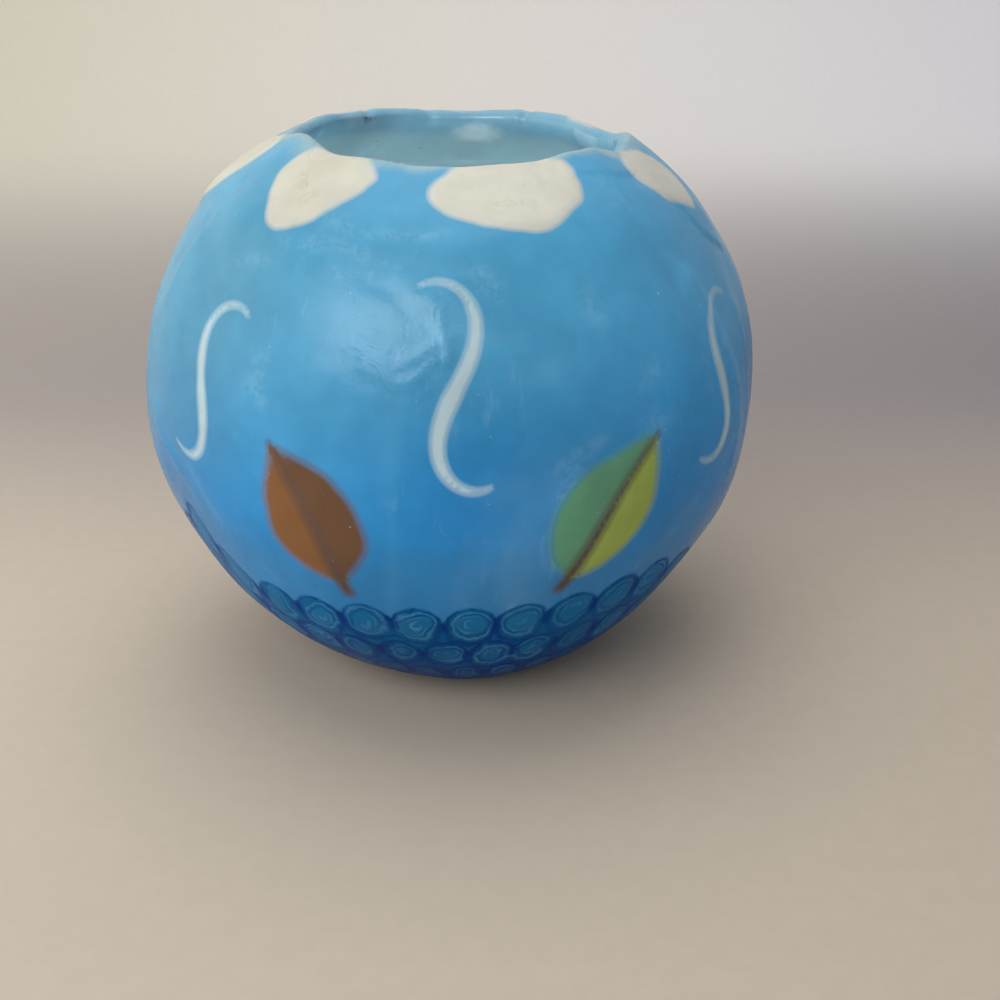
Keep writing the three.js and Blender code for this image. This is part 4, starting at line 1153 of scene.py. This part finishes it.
def lathe_grid(profile, columns):
    """Points and triangles of a surface of revolution; a row on the axis becomes one point."""
    prof = np.array(profile)
    a = np.arange(columns) * 2 * math.pi / columns
    pts = np.stack([
        np.outer(prof[:, 0], np.cos(a)), np.outer(prof[:, 0], np.sin(a)),
        np.repeat(prof[:, 1][:, None], columns, axis=1),
    ], axis=-1).reshape(-1, 3)
    t = grid_triangles(len(prof), columns)
    for row in np.flatnonzero(prof[:, 0] < 1e-9):
        pick = (t >= row * columns) & (t < (row + 1) * columns)
        t[pick] = row * columns
    t = t[(t[:, 0] != t[:, 1]) & (t[:, 1] != t[:, 2]) & (t[:, 2] != t[:, 0])]
    return pts, t


def compact(points, triangles):
    used = np.unique(triangles)
    index = np.full(len(points), -1)
    index[used] = np.arange(len(used))
    return used, index[triangles]


def build_core():
    inside = core_profile()
    outer_rows = [(-BALL_Z + 2.35)]
    bottom = -BALL_Z + 2.35
    foot = math.degrees(math.acos(bottom / CORE_OUT))
    outside = [(0.0, bottom), (8.0, bottom), (14.0, bottom)]
    outside += [(CORE_OUT * math.sin(math.radians(d)), CORE_OUT * math.cos(math.radians(d)))
                for d in np.linspace(foot, LIP_DEG + 1.2, 40)]
    outside += [(47.85 * math.sin(math.radians(LIP_DEG + 0.5)), 47.85 * math.cos(math.radians(LIP_DEG + 0.5)))]
    crest = inside[0]
    profile = inside[::-1] + outside[::-1]  # from the seat's centre up the wall, over the crest, down outside
    points, triangles = lathe_grid(profile, COLUMNS)
    prof = np.array(profile)
    r, theta, phi = polar(points)
    n_in = len(inside) * COLUMNS
    placed = hand(points)
    # Keep the floor and seat true: the warp and the relief fade out near them.
    flat = smooth((points[:, 2] - (LEDGE_Z - BALL_Z) - 0.5) / 6.0)[:, None]
    placed = points * (1 - flat) + placed * flat
    nrm = vertex_normals(placed, triangles)
    lift = np.zeros(len(points))
    crest_lift = relief(points, theta, phi)
    rough_wall = 0.20 * noise3(points, 14.0, 21) + 0.12 * noise3(points, 6.0, 22) + 0.04 * noise3(points, 2.6, 23)
    crest_row = slice((len(inside) - 1) * COLUMNS, len(inside) * COLUMNS)
    away = smooth((theta - LIP_DEG - 1.5) / 6.0)
    lift[:n_in] = (crest_lift * (1 - away) + rough_wall * away)[:n_in]
    # The floor keeps a low unevenness of its own, but never rises into the cup above it.
    lift *= np.where(flat[:, 0] > 0, 1.0, 0.0) * (0.25 + 0.75 * flat[:, 0])
    # An old wax line round the wall.
    lift[:n_in] += 0.12 * smooth(1 - np.abs(points[:n_in, 2] - 31.5 - 0.8 * noise3(points[:n_in], 17, 24)) / 0.8)
    # The outside of the crest's row carries the same lift as the skin's first row.
    placed = placed + nrm * lift[:, None]
    placed[crest_row] = crest_points
    nrm = vertex_normals(placed, triangles)
    nrm[crest_row] = crest_normals
    corner = nrm[triangles.ravel()]
    used, tri = compact(points, triangles)
    own = colour_of("core", theta, phi)
    sky = colour_of("sky", theta, phi)
    return make_mesh(
        "core_wall_wax", placed[used], tri, corner,
        values={"edge": np.full(len(used), 5.0), "soft": np.full(len(used), 0.3),
                "height": points[used, 2], "polar_angle": theta[used]},
        colours={"own": own[used], "near": sky[used]},
    )


core = build_core()


def core_material():
    """Bare wax inside, duller and greyer: painted shade towards the floor, a painted highlight on the back wall, an old
    wax line, faint runs and a little soot.
    """
    t = Tree("wax_core")
    height = t.attribute("height")
    base = t.attribute("own", "Color")
    x, y, z = t.xyz()
    # Painted shade: the wax is painted darker towards the cavity's floor.
    deep = t.span(height, 12.0, -30.0)
    base = t.mix(t.math("MULTIPLY", deep, 0.35), base, (0.14, 0.30, 0.40))
    mottle = t.span(t.noise(45, 4, 0.6, distort=0.4), 0.25, 0.75, 0.86, 1.12)
    base = t.mix(1.0, base, t.mix(1.0, (0, 0, 0), mottle, "ADD"), "MULTIPLY")
    # Pale residue: horizontal lines where melted wax stood, and runs down the wall.
    wob = t.math("MULTIPLY", t.math("SUBTRACT", t.noise(40, 2), 0.5), 5.0)
    h = t.math("ADD", height, wob)
    line = t.math("ADD",
                  t.span(t.math("ABSOLUTE", t.math("SUBTRACT", h, 31.5)), 0.25, 0.9, 1.0, 0.0),
                  t.math("MULTIPLY", t.span(t.math("ABSOLUTE", t.math("SUBTRACT", h, 27.8)), 0.2, 0.8, 1.0, 0.0), 0.6))
    line = t.math("MULTIPLY", line, t.span(t.noise(70, 2), 0.35, 0.6))
    # Painted highlight: a soft pale spot on the back wall, where the wax catches the light.
    pale_patch = t.vector("SUBTRACT", t.coords, tuple(BACK_WALL_HIGHLIGHT))
    pale_patch = t.vector("MULTIPLY", pale_patch, (1 / 0.0046, 1 / 0.006, 1 / 0.0021))
    pale_patch = t.vector("ADD", pale_patch, t.vector("SCALE", t.noise(500, 2, 0.6, out="Color"), 0.8))
    length = t.vector("LENGTH", t.vector("SUBTRACT", pale_patch, (0.4, 0.4, 0.4)))
    painted_highlight = t.span(length.node.outputs["Value"], 0.35, 1.25, 0.62, 0.0)
    base = t.mix(painted_highlight, base, (0.62, 0.72, 0.72))
    runs = t.noise(1.0, 3, 0.55, vector=t.vector("MULTIPLY", t.coords, (240, 240, 28)))
    runs = t.math("MULTIPLY", t.span(runs, 0.56, 0.70), t.span(t.noise(26, 1), 0.45, 0.6))
    pale = t.math("MINIMUM", t.math("ADD", t.math("MULTIPLY", line, 0.42), t.math("MULTIPLY", runs, 0.24)), 0.6)
    base = t.mix(pale, base, (0.52, 0.66, 0.72))
    # Soot and scorch at the back of the lip.
    spot = t.vector("DISTANCE", t.coords, None)
    t.put(spot.node.inputs[1], tuple(SCORCH))
    scorch = t.math("MULTIPLY", t.span(spot.node.outputs["Value"], 0.0002, 0.0016, 1.0, 0.0), t.span(t.noise(900, 2), 0.35, 0.55))
    smoke = t.math("MULTIPLY", t.span(spot.node.outputs["Value"], 0.001, 0.011, 1.0, 0.0), 0.28)
    base = t.mix(smoke, base, (0.10, 0.09, 0.075))
    base = t.mix(t.math("MULTIPLY", scorch, 0.9), base, (0.045, 0.020, 0.010))
    speck = t.math("MULTIPLY", t.span(t.voronoi(190), 0.05, 0.10, 1.0, 0.0), t.span(t.noise(60, 0), 0.55, 0.62))
    base = t.mix(t.math("MULTIPLY", speck, 0.4), base, (0.12, 0.16, 0.18))
    t.put(t.bsdf.inputs["Base Color"], base)
    t.put(t.bsdf.inputs["Roughness"], t.span(t.noise(70, 3, 0.6), 0.2, 0.8, 0.34, 0.55))
    t.bsdf.inputs["IOR"].default_value = 1.44
    n = t.bump(t.noise(110, 3, 0.55), 0.0004, 0.8)
    n = t.bump(t.math("ADD", line, runs), 0.00012, 0.7, n)
    n = t.bump(t.noise(420, 3, 0.6, distort=0.8), 0.00012, 0.7, n)
    n = t.bump(t.noise(2400, 2, 0.6), 0.000014, 0.7, n)
    t.put(t.bsdf.inputs["Normal"], n)
    return t.material


def lip_point(phi_deg, lower=0.0):
    """A point of the lip's crest, in metres in the row's frame."""
    mid = (BALL_R + LIP_IN) / 2
    p = hand(unpolar(np.array([mid]), np.array([LIP_DEG + lower]), np.array([float(phi_deg)])))
    return (p[0] + CENTRE) * 0.001


SCORCH = lip_point(129)
# Where the painted highlight sits on the back wall.
_p = hand(unpolar(np.array([46.2]), np.array([LIP_DEG + 3.4]), np.array([80.5])))[0]
BACK_WALL_HIGHLIGHT = (_p + CENTRE) * 0.001
core.data.materials.append(core_material())
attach(core, "shell")
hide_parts("core_wall")


# ---- the tealight -------------------------------------------------------------------------------------
BASE = AXIS + np.array([0.0, 0.0, CUP_Z])


def tealight_cup():
    """Thin pressed aluminium: fine flutes round the side, a rolled edge, a ring pressed in the base."""
    columns = 420
    outside = [(0.0, 0.35), (6.0, 0.35), (6.6, 0.25), (7.2, 0.02), (8.0, 0.0), (16.2, 0.0), (17.4, 0.05), (18.1, 0.25),
               (18.55, 0.7), (18.72, 1.4)]
    outside += [(18.72 + 0.22 * s, 1.4 + 13.2 * s) for s in np.linspace(0.08, 1, 14)]
    top = [(18.98, 14.9), (19.15, 15.0), (19.33, 15.12), (19.44, 15.32), (19.45, 15.55), (19.36, 15.78), (19.2, 15.92),
           (19.0, 15.97), (18.82, 15.93), (18.72, 15.8), (18.68, 15.6)]
    inside = [(18.62, 14.9)] + [(18.60 - 0.2 * s, 14.6 - 13.0 * s) for s in np.linspace(0, 1, 8)]
    inside += [(18.2, 1.0), (17.6, 0.62), (16.2, 0.5), (8.0, 0.5), (6.4, 0.75), (0.0, 0.75)]
    profile = outside + top + inside
    pts, tri = lathe_grid(profile, columns)
    prof = np.array(profile)
    r = np.hypot(pts[:, 0], pts[:, 1])
    phi = np.arctan2(pts[:, 1], pts[:, 0])
    side = smooth((pts[:, 2] - 1.0) / 1.2) * smooth((15.0 - pts[:, 2]) / 1.0) * (r > 18.0)
    flute = np.abs(np.cos(phi * 42)) ** 0.8 - 0.6
    dent = noise3(pts, 7.0, 31) * 0.05
    shift = (0.10 * flute + dent) * side
    pts[:, 0] += shift * np.cos(phi)
    pts[:, 1] += shift * np.sin(phi)
    used, tri = compact(pts, tri)
    nrm = vertex_normals(pts[used], tri)
    return make_mesh("tealight_cup_metal", pts[used], tri, nrm[tri.ravel()], at=BASE)


def tealight_fill():
    columns = 240
    neck = 0.98
    prof = [(1.02, 6.6), (1.02, WAX_TOP - 0.75), (1.10, WAX_TOP - 0.40), (1.35, WAX_TOP - 0.26), (1.9, WAX_TOP - 0.34),
            (2.8, WAX_TOP - 0.44)]
    prof += [(x, WAX_TOP - 0.47 + 0.06 * math.sin(x * 0.7)) for x in np.linspace(3.6, 14.5, 18)]
    prof += [(15.6, WAX_TOP - 0.40), (16.6, WAX_TOP - 0.30), (17.3, WAX_TOP - 0.12), (17.75, WAX_TOP + 0.06),
             (18.0, WAX_TOP + 0.16), (18.1, WAX_TOP + 0.12), (18.1, WAX_TOP - 0.3)]
    prof += [(18.1, 8.0), (18.1, 1.6), (17.2, 0.9), (7.0, 0.9), (7.0, 1.4), (2.15, 1.5), (2.15, 6.4)]
    prof = prof + [prof[0]]
    prof = prof[::-1]
    pts, tri = lathe_grid(prof, columns)
    first, last = np.arange(columns), np.arange(columns) + (len(prof) - 1) * columns
    remap = np.arange(len(pts))
    remap[last] = first
    tri = remap[tri]
    top = (pts[:, 2] > WAX_TOP - 0.9) & (np.hypot(pts[:, 0], pts[:, 1]) > 1.2)
    pts[:, 2] += np.where(top, 0.07 * noise3(pts, 6.0, 51) + 0.03 * noise3(pts, 2.4, 52), 0.0)
    used, tri = compact(pts, tri)
    nrm = vertex_normals(pts[used], tri)
    return make_mesh("tealight_wax_fill", pts[used], tri, nrm[tri.ravel()], at=BASE)


def wick_braid():
    """Cotton braid: a round cord with crossing strands raised on it, leaning at the tip."""
    around_n, along_n = 48, 220
    z = np.linspace(0.85, WICK_TOP, along_n)
    lean = np.clip((z - 13.4) / (WICK_TOP - 13.4), 0, 1)
    cx, cy = 1.25 * lean**1.7, -0.45 * lean**1.7
    a = np.linspace(0, 2 * math.pi, around_n, endpoint=False)
    Z, AA = np.meshgrid(z, a, indexing="ij")
    strands = np.maximum(np.cos(3 * AA + Z * 2.6), np.cos(3 * AA - Z * 2.6 + 1.0))
    radius = 0.74 + 0.10 * strands
    taper = np.where(Z > WICK_TOP - 0.35, 1 - 0.5 * (Z - WICK_TOP + 0.35) / 0.35, 1.0)
    radius = np.minimum(radius * taper, 0.86)
    X = cx[:, None] + radius * np.cos(AA)
    Y = cy[:, None] + radius * np.sin(AA)
    pts = np.stack([X, Y, Z], axis=-1).reshape(-1, 3)
    tri = grid_triangles(along_n, around_n)[:, ::-1]
    low, high = len(pts), len(pts) + 1
    pts = np.concatenate([pts, [[cx[0], cy[0], z[0]], [cx[-1], cy[-1], z[-1] + 0.08]]])
    j = np.arange(around_n)
    k = (j + 1) % around_n
    base_fan = np.stack([k, j, np.full(around_n, low)], axis=1)
    tip = (along_n - 1) * around_n
    tip_fan = np.stack([tip + j, tip + k, np.full(around_n, high)], axis=1)
    tri = np.concatenate([tri, base_fan, tip_fan])
    nrm = vertex_normals(pts, tri)
    return make_mesh("wick_braid", pts, tri, nrm[tri.ravel()], at=BASE)


def outward(ob):
    """Prints and returns a closed mesh's volume, which comes out negative if its faces point inwards."""
    me = ob.data
    v = np.empty(len(me.vertices) * 3)
    me.vertices.foreach_get("co", v)
    v = v.reshape(-1, 3)
    i = np.empty(len(me.loops), np.int32)
    me.loops.foreach_get("vertex_index", i)
    i = i.reshape(-1, 3)
    v = v - v.mean(axis=0)
    volume = np.einsum("ij,ij->i", v[i[:, 0]], np.cross(v[i[:, 1]], v[i[:, 2]])).sum() / 6
    print("volume", ob.name, round(volume * 1e6, 3), "cm3")
    return volume


def metal(name, tint, rough_low, rough_high, brushed=False):
    t = Tree(name)
    x, y, z = t.xyz()
    smudge = t.noise(120, 4, 0.65, distort=0.7)
    base = t.mix(t.span(smudge, 0.35, 0.7, 0.0, 0.35), tint, tuple(0.72 * c for c in tint))
    scratch = t.noise(1.0, 2, 0.5, vector=t.vector("MULTIPLY", t.coords, (3000, 3000, 60) if brushed else (160, 160, 2600)))
    base = t.mix(t.span(scratch, 0.62, 0.72, 0.0, 0.18), base, (0.95, 0.95, 0.96))
    t.put(t.bsdf.inputs["Base Color"], base)
    t.bsdf.inputs["Metallic"].default_value = 1.0
    t.put(t.bsdf.inputs["Roughness"], t.span(smudge, 0.25, 0.75, rough_low, rough_high))
    n = t.bump(t.noise(180, 2, 0.5), 0.00012, 0.5)
    n = t.bump(scratch, 0.000012, 0.6, n)
    t.put(t.bsdf.inputs["Normal"], n)
    return t.material


def paraffin():
    t = Tree("paraffin")
    cloud = t.noise(160, 4, 0.6, distort=0.5)
    base = t.mix(t.span(cloud, 0.3, 0.75), (0.90, 0.89, 0.85), (0.80, 0.79, 0.74))
    crystal = t.voronoi(900, "DISTANCE_TO_EDGE")
    base = t.mix(t.span(crystal, 0.0, 0.05, 0.16, 0.0), base, (0.97, 0.97, 0.95))
    t.put(t.bsdf.inputs["Base Color"], base)
    t.put(t.bsdf.inputs["Roughness"], t.span(cloud, 0.25, 0.75, 0.34, 0.52))
    t.bsdf.inputs["IOR"].default_value = 1.44
    t.bsdf.inputs["Subsurface Weight"].default_value = 0.25
    t.bsdf.inputs["Subsurface Radius"].default_value = (1.6, 1.5, 1.2)
    t.bsdf.inputs["Subsurface Scale"].default_value = 0.001
    n = t.bump(t.noise(260, 3, 0.55), 0.00010, 0.7)
    n = t.bump(t.noise(1500, 2, 0.6), 0.00002, 0.6, n)
    t.put(t.bsdf.inputs["Normal"], n)
    return t.material


def cotton():
    t = Tree("cotton_braid")
    fibre = t.noise(1.0, 3, 0.6, vector=t.vector("MULTIPLY", t.coords, (5200, 5200, 1400)))
    base = t.mix(t.span(fibre, 0.3, 0.7), (0.78, 0.75, 0.68), (0.90, 0.88, 0.82))
    x, y, z = t.xyz()
    waxed = t.span(z, (CUP_Z + 12.0) * 0.001, (CUP_Z + 15.0) * 0.001, 0.55, 0.0)
    base = t.mix(waxed, base, (0.82, 0.81, 0.76))
    t.put(t.bsdf.inputs["Base Color"], base)
    t.put(t.bsdf.inputs["Roughness"], t.span(waxed, 0.0, 0.5, 0.92, 0.5))
    t.put(t.bsdf.inputs["Normal"], t.bump(fibre, 0.00006, 0.9))
    return t.material


cup, fill, wick = tealight_cup(), tealight_fill(), wick_braid()
for ob in (cup, fill, wick, core):
    outward(ob)
cup.data.materials.append(metal("pressed_aluminium", (0.80, 0.81, 0.83), 0.20, 0.38))
fill.data.materials.append(paraffin())
wick.data.materials.append(cotton())
for ob, node, slot in ((cup, "tealight_cup", "cup_aluminium"), (fill, "tealight_wax", "tealight_wax"),
                       (wick, "wick", "wick_cotton")):
    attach(ob, "tealight")
    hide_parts(node)

# The sustainer keeps its solid, under the wax, with tinned steel on it.
for ob in [o for o in bpy.data.objects if o.type == "MESH" and o.name == "wick_sustainer"]:
    steel = metal("tinned_steel", (0.70, 0.71, 0.73), 0.28, 0.45, brushed=True)
    if ob.material_slots:
        for s in ob.material_slots:
            s.material = steel

# ---- floor, light, camera ---------------------------------------------------------------------------
def stage():
    pts = [(-9.0, 0.0), (-2.2, 0.0)]
    pts += [(y, 0.0) for y in np.linspace(-1.5, 0.75, 10)]
    pts += [(0.75 + 0.35 * math.sin(a), 0.35 * (1 - math.cos(a))) for a in np.linspace(0.1, math.pi / 2, 14)]
    pts += [(1.10, z) for z in np.linspace(0.5, 2.2, 6)]
    verts, faces = [], []
    for y, z in pts:
        verts += [(-9.0, y, z), (9.0, y, z)]
    for i in range(len(pts) - 1):
        faces.append((2 * i, 2 * i + 1, 2 * i + 3, 2 * i + 2))
    me = bpy.data.meshes.new("backdrop")
    me.from_pydata(verts, [], faces)
    me.polygons.foreach_set("use_smooth", [True] * len(faces))
    ob = bpy.data.objects.new("backdrop", me)
    bpy.context.scene.collection.objects.link(ob)
    t = Tree("pale_backdrop")
    x, y, z = t.xyz()
    # Painted light: the floor is painted lighter and warmer on the window's side at the left, and darker to the right.
    tone = t.mix(t.span(x, -0.4, 0.4), (0.55, 0.485, 0.40), (0.335, 0.290, 0.235))
    # Further back the floor goes over into the softer tone of a wall, warm at the window's side; the darker band where
    # they meet is painted shade at the wall's foot.
    behind = t.mix(t.span(x, -0.5, 0.6), (0.365, 0.33, 0.29), (0.165, 0.152, 0.182))
    tone = t.mix(t.span(y, -0.01, 0.16), tone, behind)
    # Painted light: the wall is tinted warm on the window's side and cool lavender to the right.
    wall = t.mix(t.span(x, -0.7, 0.7), (0.745, 0.705, 0.585), (0.70, 0.69, 0.73))
    tone = t.mix(t.span(y, 0.16, 0.85), tone, wall)
    speck = t.span(t.noise(300, 3, 0.6), 0.3, 0.7, 0.985, 1.015)
    tone = t.mix(1.0, tone, t.mix(1.0, (0, 0, 0), speck, "ADD"), "MULTIPLY")
    t.put(t.bsdf.inputs["Base Color"], tone)
    t.bsdf.inputs["Roughness"].default_value = 0.8
    t.bsdf.inputs["Specular IOR Level"].default_value = 0.2
    me.materials.append(t.material)


stage()


def area(name, position, target, size, power, colour):
    data = bpy.data.lights.new(name, "AREA")
    data.shape = "RECTANGLE"
    data.size, data.size_y = size
    data.energy = power
    data.color = colour
    ob = bpy.data.objects.new(name, data)
    bpy.context.scene.collection.objects.link(ob)
    ob.location = position
    ob.visible_camera = False
    from mathutils import Vector
    d = Vector(target) - Vector(position)
    ob.rotation_euler = d.to_track_quat("-Z", "Y").to_euler()
    return ob


middle = tuple(CENTRE * 0.001)
area("window", (-0.28, -0.46, 0.36), middle, (0.46, 0.40), 2.3, (1.0, 0.985, 0.96))
area("left_card", (-0.62, -0.10, 0.22), middle, (0.5, 0.6), 1.25, (1.0, 0.98, 0.95))
area("ceiling", (-0.05, 0.05, 0.80), middle, (0.7, 0.6), 2.9, (1.0, 0.99, 0.98))
area("wall_wash", (0.10, 0.55, 1.05), (0.10, 1.10, 0.45), (1.8, 0.3), 5.0, (1.0, 0.99, 0.98))
# The window's own reflection in the wax, over its even light.
panes = area("window_panes", (-0.27, -0.56, 0.40), middle, (0.42, 0.40), 4.0, (1.0, 0.99, 0.97))
panes.visible_diffuse = False
area("right_fill", (0.60, -0.32, 0.25), middle, (0.5, 0.5), 0.42, (0.80, 0.93, 1.0))

# Daylight that soaks through the wax into the cavity, as one soft lamp that is itself not seen.
glow = bpy.data.lights.new("daylight_in_cavity", "POINT")
glow.energy = 0.029
glow.color = (0.96, 1.0, 0.98)
glow.shadow_soft_size = 0.014
lamp = bpy.data.objects.new("daylight_in_cavity", glow)
lamp.location = tuple((CENTRE + np.array([-7.0, 0.0, 6.0])) * 0.001)
lamp.visible_camera = False
lamp.visible_glossy = False
bpy.context.scene.collection.objects.link(lamp)

world = bpy.data.worlds.new("room")
bpy.context.scene.world = world
world.use_nodes = True
sky_nodes, sky_links = world.node_tree.nodes, world.node_tree.links
direction = sky_nodes.new("ShaderNodeSeparateXYZ")
sky_links.new(sky_nodes.new("ShaderNodeTexCoord").outputs["Generated"], direction.inputs[0])
across = sky_nodes.new("ShaderNodeMapRange")
for name, value in (("From Min", -0.7), ("From Max", 0.8)):
    across.inputs[name].default_value = value
sky_links.new(direction.outputs["X"], across.inputs["Value"])
room = sky_nodes.new("ShaderNodeMix")
room.data_type = "RGBA"
sky_links.new(across.outputs[0], room.inputs[0])
room.inputs[6].default_value = (0.98, 0.94, 0.88, 1.0)  # the window's side
room.inputs[7].default_value = (0.46, 0.48, 0.58, 1.0)  # the room's side
sky_links.new(room.outputs[2], sky_nodes["Background"].inputs[0])
sky_nodes["Background"].inputs[1].default_value = 0.52
bpy.context.scene.view_settings.view_transform = "Standard"

camera_data = bpy.data.cameras.new("camera")
camera_data.lens = 43.2
camera_data.sensor_width = 36.0
camera_data.clip_start = 0.01
camera_data.dof.use_dof = False
camera = bpy.data.objects.new("camera", camera_data)
bpy.context.scene.collection.objects.link(camera)
camera.location = tuple((CENTRE + np.array([8.165, -198.06, 57.87])) * 0.001)
camera.rotation_euler = (math.radians(90.0 - 22.0), 0.0, 0.0)
bpy.context.scene.camera = camera
